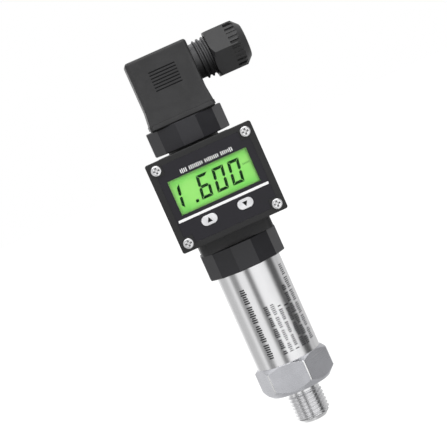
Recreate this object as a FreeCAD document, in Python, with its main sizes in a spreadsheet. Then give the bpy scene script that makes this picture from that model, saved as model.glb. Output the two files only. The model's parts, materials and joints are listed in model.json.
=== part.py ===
import FreeCAD, Part
import math
import os
import re

import Sketcher

# Pressure transmitter with a digital display and an angled cable plug, in millimetres.
# The origin is the centre of the sealing shoulder under the hexagon. +Z runs up the
# instrument to the cable plug, the display faces -Y and the cable gland points along +X.

# Every driving dimension: its name, its size and what it measures.
DIMENSIONS = (
    ("hex_across_flats", 27.0, "spanner size of the process hexagon"),
    ("hex_height", 12.4, "hexagon, from the sealing shoulder to the tube"),
    ("hex_corner_radius", 0.8, "rounding of the six upright corners"),
    ("hex_turn", 15.0, "degrees from the display side to the nearest corner"),
    ("hex_top_slope", 40.0, "degrees of the upper chamfer"),
    ("hex_shoulder_ledge", 0.2, "flat left round the tube"),
    ("seal_face_diameter", 24.8, "flat ring that presses on the sealing washer"),
    ("thread_diameter", 14.0, "major diameter of the process thread"),
    ("stub_length", 14.4, "shoulder to tip"),
    ("stub_chamfer", 2.4, "lead-in at the tip"),
    ("stub_nose_radius", 1.0, "rounding of the tip"),
    ("relief_diameter", 12.2, "undercut behind the thread"),
    ("relief_length", 2.05, "length of the undercut"),
    ("port_diameter", 3.0, "pressure port"),
    ("sensor_seat_height", 8.0, "floor of the sensor pocket above the shoulder"),
    ("sensor_pocket_diameter", 19.0, "bore that holds the sensor"),
    ("spigot_length", 4.0, "spigot that centres the tube"),
    ("sensor_height", 5.0, "sensor capsule without its header"),
    ("sensor_chamber_diameter", 15.0, "recess in front of the diaphragm"),
    ("sensor_chamber_depth", 0.6, "depth of that recess"),
    ("header_diameter", 12.0, "raised header with the pins"),
    ("header_height", 1.2, "height of the header"),
    ("header_pin_diameter", 0.8, "pin of the sensor header"),
    ("header_pin_circle", 7.0, "circle of the header pins"),
    ("header_pin_reach", 2.4, "pin above the header"),
    ("sensor_seal_groove_depth", 1.3, "groove round the capsule"),
    ("sensor_seal_groove_width", 1.6, "groove round the capsule"),
    ("lock_ring_bore", 13.6, "hole of the ring that holds the sensor down"),
    ("lock_ring_height", 3.0, "height of that ring"),
    ("lock_ring_slot_width", 2.0, "slot for the pin spanner"),
    ("lock_ring_slot_depth", 1.2, "slot for the pin spanner"),
    ("tube_diameter", 26.5, "outside of the body tube"),
    ("tube_wall", 1.0, "wall of the body tube"),
    ("tube_exposed_length", 40.25, "bright tube between hexagon and collar"),
    ("tube_engagement", 5.0, "tube inside the lower collar"),
    ("tube_seal_groove_depth", 0.9, "groove in the collar socket"),
    ("tube_seal_groove_width", 1.5, "groove in the collar socket"),
    ("holder_height", 3.2, "moulded ring that carries the signal board"),
    ("holder_bore", 14.0, "hole of that ring"),
    ("holder_slot_depth", 2.0, "depth of the slot for the board"),
    ("board_thickness", 1.6, "both circuit boards"),
    ("signal_board_clearance", 1.0, "upright board to the tube's wall on each side"),
    ("signal_board_length", 30.0, "upright board in the tube"),
    ("chip_width", 6.0, "amplifier on the signal board"),
    ("chip_height", 1.4, "how far the amplifier stands up"),
    ("chip_pitch", 9.0, "spacing of the amplifiers"),
    ("press_clearance", 0.04, "radial clearance of parts pushed together"),
    ("loose_clearance", 0.15, "clearance of parts that drop into place"),
    ("collar_across_flats", 31.4, "both twelve-sided collars"),
    ("lower_collar_height", 10.6, "lower collar"),
    ("upper_collar_height", 9.8, "upper collar"),
    ("collar_edge", 0.3, "chamfer of the collars' rims"),
    ("contact_bore_diameter", 20.2, "bore under the contact base"),
    ("contact_bore_depth", 6.9, "bore under the contact base"),
    ("contact_seat_diameter", 21.8, "recess that holds the contact base"),
    ("contact_seat_depth", 3.2, "recess that holds the contact base"),
    ("contact_pad_width", 19.2, "square pad of the contact base"),
    ("contact_pad_height", 2.2, "square pad of the contact base"),
    ("contact_spacing", 18.0, "between opposite contact blades"),
    ("blade_width", 6.3, "contact blade"),
    ("blade_thickness", 0.8, "contact blade"),
    ("blade_reach", 9.5, "blade above the collar"),
    ("blade_tail", 6.2, "blade below the collar's top"),
    ("contact_block_height", 10.2, "female contact block"),
    ("contact_sleeve_wall", 0.4, "spring sleeve round a blade"),
    ("contact_sleeve_length", 7.0, "spring sleeve round a blade"),
    ("contact_roof", 1.8, "block above the sleeves"),
    ("clamp_screw_diameter", 2.2, "terminal screw"),
    ("clamp_screw_head", 3.8, "head of a terminal screw"),
    ("clamp_screw_head_height", 1.2, "head of a terminal screw"),
    ("clamp_screw_slot", 0.6, "driver slot of a terminal screw"),
    ("gasket_thickness", 1.2, "flat gaskets inside the sockets"),
    ("gasket_seam", 0.45, "gasket that shows under the plug"),
    ("gasket_inset", 0.5, "gasket edge behind the plug's flange"),
    ("gasket_window_clearance", 0.3, "gasket round the contact pad"),
    ("hub_width", 30.0, "square hub of the display housing, side to side"),
    ("hub_depth", 27.0, "square hub, front to back"),
    ("hub_corner_radius", 2.8, "upright corners of the hub"),
    ("hub_wall", 2.0, "wall of the hub"),
    ("hub_exposed_height", 5.72, "hub between collar and front plate"),
    ("hub_socket_depth", 18.0, "socket in the hub"),
    ("channel_diameter", 11.0, "wire channel through the housing"),
    ("boss_diameter", 21.0, "round boss under the upper collar"),
    ("shank_diameter", 17.0, "shank of the upper collar"),
    ("shank_length", 8.0, "shank of the upper collar"),
    ("shank_bore", 12.0, "hole of the shank"),
    ("plate_width", 43.3, "front plate"),
    ("plate_height", 36.13, "front plate"),
    ("plate_thickness", 1.6, "front plate"),
    ("plate_front", 29.05, "front of the plate from the instrument's axis"),
    ("plate_corner_radius", 0.9, "corners of the front plate"),
    ("plate_edge_radius", 0.35, "front edge of the plate"),
    ("plate_overlap_side", 0.5, "plate beyond the housing at the sides"),
    ("plate_overlap_top", 0.95, "plate beyond the housing at the top"),
    ("plate_overlap_bottom", 0.5, "plate beyond the housing at the bottom"),
    ("plate_above_to_collar", 0.4, "plate's top edge to the upper collar"),
    ("face_gasket_thickness", 0.8, "gasket between plate and housing"),
    ("box_depth", 14.15, "display box, front to back"),
    ("box_cavity_depth", 12.0, "display box, inside"),
    ("box_wall", 1.8, "display box"),
    ("box_corner_radius", 1.0, "display box"),
    ("screw_spacing_x", 36.5, "cover screws, side to side"),
    ("screw_spacing_z", 29.65, "cover screws, up and down"),
    ("screw_centre_drop", 0.1, "screw pattern's centre above the plate's centre"),
    ("cover_screw_diameter", 2.5, "cover screws"),
    ("cover_screw_length", 8.0, "cover screws, under the head"),
    ("cover_head_diameter", 4.2, "cover screws"),
    ("cover_head_height", 1.5, "cover screws"),
    ("cover_head_dome", 0.7, "rounding of the head's top edge"),
    ("cross_width", 0.7, "cross recess of the cover screws"),
    ("cross_span", 2.5, "cross recess of the cover screws"),
    ("cross_depth", 0.8, "cross recess of the cover screws"),
    ("boss_wall", 1.2, "screw pillar round its hole"),
    ("label_thickness", 0.25, "printed film on the plate"),
    ("label_width", 38.0, "printed film"),
    ("label_height", 31.6, "printed film"),
    ("label_margin", 0.5, "film to the screw heads"),
    ("window_width", 32.3, "visible part of the display"),
    ("window_height", 13.7, "visible part of the display"),
    ("window_centre", 20.45, "display centre above the plate's lower edge"),
    ("pane_lap", 1.0, "clear pane beyond the window on each side"),
    ("pane_thickness", 0.9, "clear pane"),
    ("glass_lap", 1.6, "display glass beyond the window on each side"),
    ("glass_thickness", 1.8, "display glass"),
    ("backlight_thickness", 2.4, "light panel behind the glass"),
    ("stack_gap", 0.1, "between the layers of the display"),
    ("board_clearance", 0.4, "display board to the box and its pillars"),
    ("post_diameter", 3.6, "post that carries the display board"),
    ("post_spacing_x", 24.0, "posts, side to side"),
    ("post_spacing_z", 26.0, "posts, up and down"),
    ("board_screw_diameter", 1.6, "screws of the display board"),
    ("board_screw_length", 4.0, "screws of the display board"),
    ("board_screw_head", 2.8, "screws of the display board"),
    ("board_screw_head_height", 0.9, "screws of the display board"),
    ("key_length", 6.3, "oval key, side to side"),
    ("key_height", 3.9, "oval key, up and down"),
    ("key_spacing", 14.8, "between the keys"),
    ("key_centre", 8.05, "key centre above the plate's lower edge"),
    ("key_proud", 0.45, "key in front of the plate"),
    ("key_clearance", 0.12, "key in its hole"),
    ("key_flange_lap", 0.9, "flange behind the plate"),
    ("key_flange_thickness", 0.6, "flange behind the plate"),
    ("key_stem_diameter", 2.4, "stem behind the flange"),
    ("key_travel", 0.35, "how far a key is pressed"),
    ("switch_width", 5.2, "dome switch"),
    ("switch_height", 1.2, "dome switch without its plunger"),
    ("switch_plunger_diameter", 2.8, "plunger of the dome switch"),
    ("plug_width", 25.6, "plug body, side to side"),
    ("plug_depth", 27.2, "plug body, front to back"),
    ("plug_height", 27.65, "plug, flange to top"),
    ("plug_corner_radius", 1.6, "upright corners of the plug"),
    ("plug_top_radius", 1.2, "top edge of the plug"),
    ("plug_wall", 1.8, "wall of the plug"),
    ("plug_roof", 4.65, "top wall of the plug"),
    ("plug_skirt_top", 6.8, "where the plug starts to widen"),
    ("plug_skirt_spread", 0.55, "widening on each side"),
    ("flange_lap", 0.85, "flange beyond the plug body on each side"),
    ("flange_height", 1.7, "flange of the plug"),
    ("grip_width", 11.0, "moulded grip lines on the plug's front"),
    ("grip_line", 0.5, "width of a grip line"),
    ("grip_pitch", 1.25, "spacing of the grip lines"),
    ("grip_count", 7, "number of grip lines"),
    ("grip_depth", 0.3, "depth of a grip line"),
    ("grip_base", 13.3, "lowest grip line above the plug's base"),
    ("screw_recess_diameter", 7.2, "recess for the long screw"),
    ("screw_recess_depth", 2.9, "recess for the long screw"),
    ("long_screw_diameter", 3.0, "screw through plug, display and base"),
    ("long_screw_head", 5.5, "head of that screw"),
    ("long_screw_head_height", 1.9, "head of that screw"),
    ("long_screw_slot_width", 0.8, "driver slot"),
    ("long_screw_slot_depth", 1.0, "driver slot"),
    ("long_screw_hole", 3.6, "holes that the long screw passes"),
    ("screw_seal_thickness", 0.6, "washer under the long screw's head"),
    ("centre_nut_diameter", 4.8, "threaded insert of the contact base"),
    ("gland_height", 17.8, "gland axis above the plug's base"),
    ("neck_root_diameter", 14.3, "gland neck between its threads"),
    ("neck_thread_diameter", 16.0, "gland neck over its threads"),
    ("neck_length", 15.3, "gland neck from the plug's side"),
    ("neck_plain_length", 1.8, "neck before the first thread"),
    ("neck_pitch", 1.95, "thread of the neck"),
    ("neck_crest", 0.5, "flat crest of a thread"),
    ("neck_bore", 10.0, "cable way through the neck"),
    ("seal_seat_diameter", 12.4, "seat of the cable seal"),
    ("seal_seat_depth", 6.6, "seat of the cable seal"),
    ("seal_bore", 8.0, "hole of the cable seal"),
    ("nut_standoff", 7.5, "plug's side to the gland nut"),
    ("nut_length", 14.85, "gland nut"),
    ("nut_across_flats", 18.4, "gland nut"),
    ("nut_bore_depth", 11.3, "threaded part of the nut"),
    ("nut_thread_clearance", 0.06, "nut over the neck's thread"),
    ("nut_nose_radius", 6.45, "flat end of the nut's cone"),
    ("nut_nose_rounding", 1.1, "rounding of the cone's end"),
    ("nut_lead_chamfer", 0.6, "chamfer of the nut's inner end"),
    ("nut_grip_start", 8.1, "grip notches from the nut's inner end"),
    ("nut_grip_width", 0.85, "grip notch"),
    ("nut_grip_floor", 17.9, "diameter at the floor of the notches"),
    ("nut_grip_count", 30, "grip notches"),
    ("cable_entry_diameter", 10.0, "hole of the gland nut"),
    ("clamp_ring_thickness", 1.0, "slip ring inside the nut"),
    ("clamp_ring_diameter", 15.4, "slip ring inside the nut"),
    ("clamp_ring_play", 0.1, "slip ring to the nut's floor"),
)

# Heights above the sealing shoulder, as expressions of the dimensions.
COLLAR_BASE = "(hex_height + tube_exposed_length)"
HUB_BASE = f"({COLLAR_BASE} + lower_collar_height)"
PLATE_BASE = f"({HUB_BASE} + hub_exposed_height)"
PLATE_TOP = f"({PLATE_BASE} + plate_height)"
UPPER_COLLAR_BASE = f"({PLATE_TOP} + plate_above_to_collar)"
UPPER_COLLAR_TOP = f"({UPPER_COLLAR_BASE} + upper_collar_height)"
PLUG_BASE = f"({UPPER_COLLAR_TOP} + gasket_seam)"
GLAND_AXIS = f"({PLUG_BASE} + gland_height)"
SPIGOT_TOP = "(hex_height + spigot_length)"
SCREW_CENTRE = f"({PLATE_BASE} + plate_height / 2 - screw_centre_drop)"
WINDOW_CENTRE = f"({PLATE_BASE} + window_centre)"
KEY_CENTRE = f"({PLATE_BASE} + key_centre)"

SCREW_LOW = f"({SCREW_CENTRE} - screw_spacing_z / 2)"
SCREW_HIGH = f"({SCREW_CENTRE} + screw_spacing_z / 2)"
BOX_LOW = f"({PLATE_BASE} + plate_overlap_bottom)"
BOX_HIGH = f"({PLATE_TOP} - plate_overlap_top)"
BOX_MIDDLE = f"(({BOX_LOW} + {BOX_HIGH}) / 2)"
BOX_WIDTH = "(plate_width - 2 * plate_overlap_side)"
BOX_HEIGHT = f"({BOX_HIGH} - {BOX_LOW})"

# Distances in front of the instrument's axis.
PLATE_BACK = "(plate_front - plate_thickness)"
BOX_FRONT = f"({PLATE_BACK} - face_gasket_thickness)"
BOX_FLOOR = f"({BOX_FRONT} - box_cavity_depth)"
PANE_FRONT = "(plate_front - plate_thickness + pane_thickness)"
GLASS_FRONT = f"({PLATE_BACK} - stack_gap)"
BACKLIGHT_FRONT = f"({GLASS_FRONT} - glass_thickness - stack_gap)"
BOARD_FRONT = f"({BACKLIGHT_FRONT} - backlight_thickness - stack_gap)"
BOARD_BACK = f"({BOARD_FRONT} - board_thickness)"
SWITCH_FRONT = f"({BOARD_FRONT} + switch_height)"
KEY_FLANGE_FRONT = f"({PLATE_BACK} - stack_gap)"
PLUNGER_GAP = "(key_travel + stack_gap)"
PILLAR = "(cover_screw_diameter / 2 + boss_wall)"

# Distances along the cable gland, from the instrument's axis.
PLUG_SIDE = "(plug_width / 2)"
NECK_END = f"({PLUG_SIDE} + neck_length)"
SEAL_SEAT = f"({NECK_END} - seal_seat_depth)"
NUT_START = f"({PLUG_SIDE} + nut_standoff)"
NUT_FLOOR = f"({NUT_START} + nut_bore_depth)"
NUT_END = f"({NUT_START} + nut_length)"

# Lengths closer than this count as equal.
TOUCH = 0.0001

NAMES = {name for name, _, _ in DIMENSIONS}
Vector = FreeCAD.Vector

doc = FreeCAD.newDocument("pressure_transmitter")
sheet = doc.addObject("Spreadsheet::Sheet", "Dims")
for row, (name, size, meaning) in enumerate(DIMENSIONS, start=1):
    sheet.set(f"A{row}", meaning)
    sheet.set(f"B{row}", str(size))
    sheet.setAlias(f"B{row}", name)
doc.recompute()


def bound(text):
    """The expression with each dimension's name pointing at its cell in the sheet."""
    return re.sub(r"[a-z_]\w*", lambda m: "Dims." + m[0] if m[0] in NAMES else m[0], str(text))


def measure(text):
    """What an expression of the dimensions comes to."""
    return float(sheet.evalExpression(bound(text)))


def tie(thing, prop, text):
    """Binds one property of an object to an expression of the dimensions."""
    thing.setExpression(prop, bound(text))


# Sketches

def sketch_on(body, role, lift="0"):
    """A sketch on one of the body's own planes, lifted along that plane's normal."""
    sketch = body.newObject("Sketcher::SketchObject", "Profile")
    plane = next(f for f in body.Origin.OriginFeatures if f.Role == role)
    sketch.AttachmentSupport = [(plane, "")]
    sketch.MapMode = "FlatFace"
    tie(sketch, "AttachmentOffset.Base.z", lift)
    return sketch


def fix(sketch, kind, geometry, point, text):
    """One dimension of a sketch, bound to an expression."""
    parts = (geometry, point) if point else (geometry,)
    index = sketch.addConstraint(Sketcher.Constraint(kind, *parts, measure(text)))
    tie(sketch, f"Constraints[{index}]", text)


def fix_point(sketch, geometry, point, x, y):
    """Holds a point of the sketch at x, y. A plain 0 puts it on the axis."""
    for kind, text, axis in (("DistanceX", x, -2), ("DistanceY", y, -1)):
        if text == "0":
            sketch.addConstraint(Sketcher.Constraint("PointOnObject", geometry, point, axis))
        else:
            fix(sketch, kind, geometry, point, text)


def outline(sketch, corners):
    """A closed outline with straight sides through corners given as expressions."""
    first = sketch.GeometryCount
    points = [Vector(measure(x), measure(y), 0) for x, y in corners]
    count = len(points)
    for n in range(count):
        sketch.addGeometry(Part.LineSegment(points[n], points[(n + 1) % count]))
    for n in range(count):
        following = first + (n + 1) % count
        sketch.addConstraint(Sketcher.Constraint("Coincident", first + n, 2, following, 1))
    for n, (x, y) in enumerate(corners):
        fix_point(sketch, first + n, 1, x, y)
    return sketch


def rectangle(sketch, width, height, x="0", y="0"):
    """A rectangle round the centre x, y."""
    left, right = f"{x} - ({width}) / 2", f"{x} + ({width}) / 2"
    low, high = f"{y} - ({height}) / 2", f"{y} + ({height}) / 2"
    return outline(sketch, ((left, low), (right, low), (right, high), (left, high)))


def circle(sketch, diameter, x="0", y="0"):
    """A full circle round the centre x, y."""
    radius = f"({diameter}) / 2"
    shape = Part.Circle(Vector(measure(x), measure(y), 0), Vector(0, 0, 1), measure(radius))
    index = sketch.addGeometry(shape)
    fix_point(sketch, index, 3, x, y)
    fix(sketch, "Radius", index, 0, radius)
    return sketch


def slot(sketch, length, height, x="0", y="0"):
    """An oval with two straight sides and round ends, centred on x, y."""
    reach = measure(f"({length} - ({height})) / 2")
    radius = measure(f"({height}) / 2")
    cx, cy = measure(x), measure(y)
    first = sketch.GeometryCount
    quarter = math.pi / 2
    for side, start in ((-1, quarter), (1, -quarter)):
        centre = Vector(cx + side * reach, cy, 0)
        ring = Part.Circle(centre, Vector(0, 0, 1), radius)
        sketch.addGeometry(Part.ArcOfCircle(ring, start, start + 2 * quarter))
    for side in (-1, 1):
        ends = [Vector(cx + side * end * reach, cy + side * radius, 0) for end in (-1, 1)]
        sketch.addGeometry(Part.LineSegment(*ends))
    left, right, low, high = first, first + 1, first + 2, first + 3
    for arc, arc_end, line, line_end in ((left, 2, low, 2), (right, 1, low, 1),
                                         (right, 2, high, 2), (left, 1, high, 1)):
        sketch.addConstraint(Sketcher.Constraint("Tangent", arc, arc_end, line, line_end))
    fix_point(sketch, left, 3, f"{x} - ({length} - ({height})) / 2", y)
    fix_point(sketch, right, 3, f"{x} + ({length} - ({height})) / 2", y)
    fix(sketch, "Radius", left, 0, f"({height}) / 2")
    return sketch


def polygon(sketch, sides, flats, first_angle, x="0", y="0"):
    """A regular polygon by its width across flats, with a corner at first_angle."""
    corner_radius = f"{flats} / 2 / cos({180 / sides})"
    corners = []
    for n in range(sides):
        angle = f"({first_angle} + {360 / sides * n})"
        corners.append((f"{x} + {corner_radius} * cos({angle})",
                        f"{y} + {corner_radius} * sin({angle})"))
    return outline(sketch, corners)


# Features

def new_body(label):
    """An empty body under its own label."""
    body = doc.addObject("PartDesign::Body", "Body")
    body.Label = label
    return body


def grown(body, feature, cut):
    """Rebuilds, and stops if the feature left the body as it was."""
    before = feature.BaseFeature
    doc.recompute()
    volume = before.Shape.Volume if before else 0.0
    change = feature.Shape.Volume - volume
    if cut and change > -TOUCH or not cut and change < TOUCH:
        raise RuntimeError(f"{body.Label}: {feature.Name} changed nothing")
    return feature


def extrude(body, sketch, length, cut=False, reverse=False):
    """A pad or a pocket of the sketch. A pocket runs against the sketch's normal."""
    kind = "PartDesign::Pocket" if cut else "PartDesign::Pad"
    feature = body.newObject(kind, "Cut" if cut else "Pad")
    feature.Profile = sketch
    feature.Reversed = reverse
    tie(feature, "Length", length)
    return grown(body, feature, cut)


def pad(body, sketch, length, reverse=False):
    return extrude(body, sketch, length, cut=False, reverse=reverse)


def pocket(body, sketch, depth, reverse=False):
    return extrude(body, sketch, depth, cut=True, reverse=reverse)


def revolve(body, sketch, axis="V_Axis", cut=False):
    """A full turn of the sketch round one of its own axes, added or taken away."""
    feature = body.newObject("PartDesign::Groove" if cut else "PartDesign::Revolution", "Turned")
    feature.Profile = sketch
    feature.ReferenceAxis = (sketch, [axis])
    feature.Angle = 360
    return grown(body, feature, cut)


def repeat(body, feature, kind, reference, count, reach):
    """A pattern of one feature: PolarPattern by its angle or LinearPattern by its length."""
    pattern = body.newObject(f"PartDesign::{kind}", "Pattern")
    pattern.Originals = [feature]
    if kind == "PolarPattern":
        pattern.Axis = reference
        pattern.Angle = reach
    else:
        pattern.Direction = reference
        tie(pattern, "Length", reach)
    tie(pattern, "Occurrences", count)
    body.Tip = pattern
    doc.recompute()
    return pattern


def dress(body, kind, prop, size, chosen):
    """A fillet or chamfer on the edges of the newest feature that a test picks."""
    base = body.Tip
    names = [f"Edge{n}" for n, edge in enumerate(base.Shape.Edges, start=1) if chosen(edge)]
    feature = body.newObject(f"PartDesign::{kind}", kind)
    feature.Base = (base, names)
    tie(feature, prop, size)
    doc.recompute()
    return feature


def rounded(body, radius, chosen):
    return dress(body, "Fillet", "Radius", radius, chosen)


def chamfered(body, size, chosen):
    return dress(body, "Chamfer", "Size", size, chosen)


def along(direction, test=lambda middle: True):
    """Picks straight edges that run along a direction, and pass a test of their middle."""
    def chosen(edge):
        if edge.Curve.TypeId != "Part::GeomLine":
            return False
        run = (edge.lastVertex().Point - edge.firstVertex().Point).normalize()
        return abs(abs(run.dot(direction)) - 1) < TOUCH and test(edge.CenterOfMass)
    return chosen


def in_plane(axis, level):
    """Picks edges that lie wholly in the plane where one coordinate has a level."""
    place = measure(level)

    def chosen(edge):
        box = edge.BoundBox
        low, high = getattr(box, f"{axis}Min"), getattr(box, f"{axis}Max")
        return abs(low - place) < TOUCH and abs(high - place) < TOUCH
    return chosen


def round_edge(diameter, axis, level):
    """Picks the circular edge of a diameter in the plane where a coordinate has a level."""
    radius = measure(diameter) / 2
    flat = in_plane(axis, level)

    def chosen(edge):
        is_circle = edge.Curve.TypeId == "Part::GeomCircle"
        return is_circle and abs(edge.Curve.Radius - radius) < TOUCH and flat(edge)
    return chosen


X, Y, Z = Vector(1, 0, 0), Vector(0, 1, 0), Vector(0, 0, 1)


def lift(thing, height):
    """Puts a sub-part at its height above the sealing shoulder."""
    tie(thing, "Placement.Base.z", height)
    return thing


# Simple solids

def box(width, depth, height, x="0", y="0", z="0"):
    """A box centred on x and y that stands on z."""
    solid = doc.addObject("Part::Box", "Box")
    for prop, text in (("Length", width), ("Width", depth), ("Height", height)):
        tie(solid, prop, text)
    tie(solid, "Placement.Base.x", f"{x} - ({width}) / 2")
    tie(solid, "Placement.Base.y", f"{y} - ({depth}) / 2")
    tie(solid, "Placement.Base.z", z)
    return solid


def cylinder(diameter, height, x="0", y="0", z="0"):
    """An upright cylinder that stands on z."""
    solid = doc.addObject("Part::Cylinder", "Cylinder")
    tie(solid, "Radius", f"({diameter}) / 2")
    tie(solid, "Height", height)
    for axis, text in zip("xyz", (x, y, z)):
        tie(solid, f"Placement.Base.{axis}", text)
    return solid


def torus(ring_diameter, section_diameter, z):
    """A ring of round section, lying flat at z."""
    solid = doc.addObject("Part::Torus", "Torus")
    tie(solid, "Radius1", f"({ring_diameter}) / 2")
    tie(solid, "Radius2", f"({section_diameter}) / 2")
    tie(solid, "Placement.Base.z", z)
    return solid


def fused(*solids):
    union = doc.addObject("Part::MultiFuse", "Union")
    union.Shapes = list(solids)
    return union


def without(base, *tools):
    """The base with each tool cut away."""
    for tool in tools:
        cut = doc.addObject("Part::Cut", "Cut")
        cut.Base = base
        cut.Tool = tool
        base = cut
    return base


def labelled(thing, label):
    thing.Label = label
    return thing


def group(label, members):
    """Identical or like pieces that share one node as separate solids."""
    compound = doc.addObject("Part::Compound", "Group")
    compound.Links = members
    compound.Label = label
    return compound


def copy_of(master, places):
    """Links to one master, each at its own x, y, z given as expressions."""
    links = []
    for place in places:
        link = doc.addObject("App::Link", "Copy")
        link.LinkedObject = master
        for axis, text in zip("xyz", place):
            tie(link, f"Placement.Base.{axis}", text)
        links.append(link)
    return links


# Process end

def process_fitting():
    """Hexagon, threaded stub and tube spigot turned from one bar, with the pressure port."""
    body = new_body("process_fitting")
    hexagon = polygon(sketch_on(body, "XY_Plane"), 6, "hex_across_flats", "hex_turn - 90")
    pad(body, hexagon, "hex_height")
    rounded(body, "hex_corner_radius", along(Z))
    reach = "hex_across_flats / 4"
    seal, top = "seal_face_diameter / 2", "(tube_diameter / 2 + hex_shoulder_ledge)"
    under = outline(sketch_on(body, "XZ_Plane"),
                    ((seal, "0"), (f"{seal} + {reach}", "0"), (f"{seal} + {reach}", reach)))
    revolve(body, under, cut=True)
    over = outline(sketch_on(body, "XZ_Plane"),
                   ((top, "hex_height"), (f"{top} + {reach}", "hex_height"),
                    (f"{top} + {reach}", f"hex_height - {reach} * tan(hex_top_slope)")))
    revolve(body, over, cut=True)
    tip, relief = "(thread_diameter / 2 - stub_chamfer)", "relief_diameter / 2"
    spigot = "(tube_diameter / 2 - tube_wall - press_clearance)"
    turned = outline(sketch_on(body, "XZ_Plane"), (
        ("0", "-stub_length"), (tip, "-stub_length"),
        ("thread_diameter / 2", "stub_chamfer - stub_length"),
        ("thread_diameter / 2", f"{relief} - thread_diameter / 2 - relief_length"),
        (relief, "-relief_length"), (relief, "hex_height / 2"),
        (spigot, "hex_height / 2"), (spigot, SPIGOT_TOP), ("0", SPIGOT_TOP)))
    revolve(body, turned)
    port, pocket_edge = "port_diameter / 2", "sensor_pocket_diameter / 2"
    bore = outline(sketch_on(body, "XZ_Plane"), (
        ("0", "-stub_length"), (port, "-stub_length"), (port, "sensor_seat_height"),
        (pocket_edge, "sensor_seat_height"), (pocket_edge, SPIGOT_TOP), ("0", SPIGOT_TOP)))
    revolve(body, bore, cut=True)
    rounded(body, "stub_nose_radius",
            round_edge("thread_diameter - 2 * stub_chamfer", "Z", "-stub_length"))
    return body


def sensor_capsule():
    """Steel capsule with the diaphragm recess below, a seal groove and a header on top."""
    body = new_body("sensor_capsule")
    side = "(sensor_pocket_diameter / 2 - press_clearance)"
    groove = f"({side} - sensor_seal_groove_depth)"
    low = "(sensor_height - sensor_seal_groove_width) / 2"
    high = "(sensor_height + sensor_seal_groove_width) / 2"
    chamber, header = "sensor_chamber_diameter / 2", "header_diameter / 2"
    turned = outline(sketch_on(body, "XZ_Plane"), (
        ("0", "sensor_chamber_depth"), (chamber, "sensor_chamber_depth"), (chamber, "0"),
        (side, "0"), (side, low), (groove, low), (groove, high), (side, high),
        (side, "sensor_height"), (header, "sensor_height"),
        (header, "sensor_height + header_height"), ("0", "sensor_height + header_height")))
    revolve(body, turned)
    pins = sketch_on(body, "XY_Plane", "sensor_height")
    for angle in (45, 135, 225, 315):
        circle(pins, "header_pin_diameter", f"header_pin_circle / 2 * cos({angle})",
               f"header_pin_circle / 2 * sin({angle})")
    pad(body, pins, "header_height + header_pin_reach")
    return lift(body, "sensor_seat_height")


def sensor_o_ring():
    """Seal between the capsule's groove and the pocket."""
    floor = "(sensor_pocket_diameter - 2 * press_clearance - 2 * sensor_seal_groove_depth)"
    ring = torus(f"(sensor_pocket_diameter + {floor}) / 2",
                 f"(sensor_pocket_diameter - {floor}) / 2 - press_clearance",
                 "sensor_seat_height + sensor_height / 2")
    return labelled(ring, "sensor_o_ring")


def sensor_lock_ring():
    """Ring with two spanner slots that holds the capsule down."""
    base = "sensor_seat_height + sensor_height"
    side = "sensor_pocket_diameter - 2 * press_clearance"
    slot_base = f"{base} + lock_ring_height - lock_ring_slot_depth"
    ring = without(
        cylinder(side, "lock_ring_height", z=base),
        cylinder("lock_ring_bore", "lock_ring_height", z=base),
        box("sensor_pocket_diameter", "lock_ring_slot_width", "lock_ring_slot_depth", z=slot_base))
    return labelled(ring, "sensor_lock_ring")


def body_tube():
    """Bright tube, welded to the hexagon and held in the lower collar."""
    body = new_body("body_tube")
    inner, outer = "tube_diameter / 2 - tube_wall", "tube_diameter / 2"
    length = "tube_exposed_length + tube_engagement"
    wall = outline(sketch_on(body, "XZ_Plane"),
                   ((inner, "0"), (outer, "0"), (outer, length), (inner, length)))
    revolve(body, wall)
    return lift(body, "hex_height")


# Electronics in the tube

BOARD_FOOT = f"({SPIGOT_TOP} + holder_height - holder_slot_depth)"
SIGNAL_BOARD_WIDTH = "(tube_diameter - 2 * tube_wall - 2 * signal_board_clearance)"


def board_holder():
    """Moulded ring on the spigot with a slot for the upright board."""
    slot_width = f"({SIGNAL_BOARD_WIDTH} + 2 * loose_clearance)"
    ring = without(
        cylinder("tube_diameter - 2 * tube_wall - 2 * loose_clearance", "holder_height",
                 z=SPIGOT_TOP),
        cylinder("holder_bore", "holder_height", z=SPIGOT_TOP),
        box(slot_width, "board_thickness + 2 * loose_clearance", "holder_slot_depth",
            z=BOARD_FOOT))
    return labelled(ring, "board_holder")


def signal_board():
    """Upright circuit board that stands in the holder's slot."""
    board = box(SIGNAL_BOARD_WIDTH, "board_thickness", "signal_board_length", z=BOARD_FOOT)
    return labelled(board, "signal_board")


def board_chips():
    """Amplifier and converter chips, soldered to the two faces of the signal board."""
    middle = f"({BOARD_FOOT} + signal_board_length / 2)"
    offset = "(board_thickness + chip_height) / 2"
    chips = []
    for side, step in ((-1, -1), (-1, 1), (1, 0)):
        chips.append(box("chip_width", "chip_height", "chip_width", y=f"{side} * {offset}",
                         z=f"{middle} + {step} * chip_pitch / 2 - chip_width / 2"))
    return group("board_chips", chips)


# Collars, contact bases and contacts

def collar_blank(body, height):
    """Twelve-sided disc with a flat to the display side and broken rims."""
    pad(body, polygon(sketch_on(body, "XY_Plane"), 12, "collar_across_flats", "-75"), height)
    low, high = in_plane("Z", "0"), in_plane("Z", height)
    chamfered(body, "collar_edge", lambda edge: low(edge) or high(edge))


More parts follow.
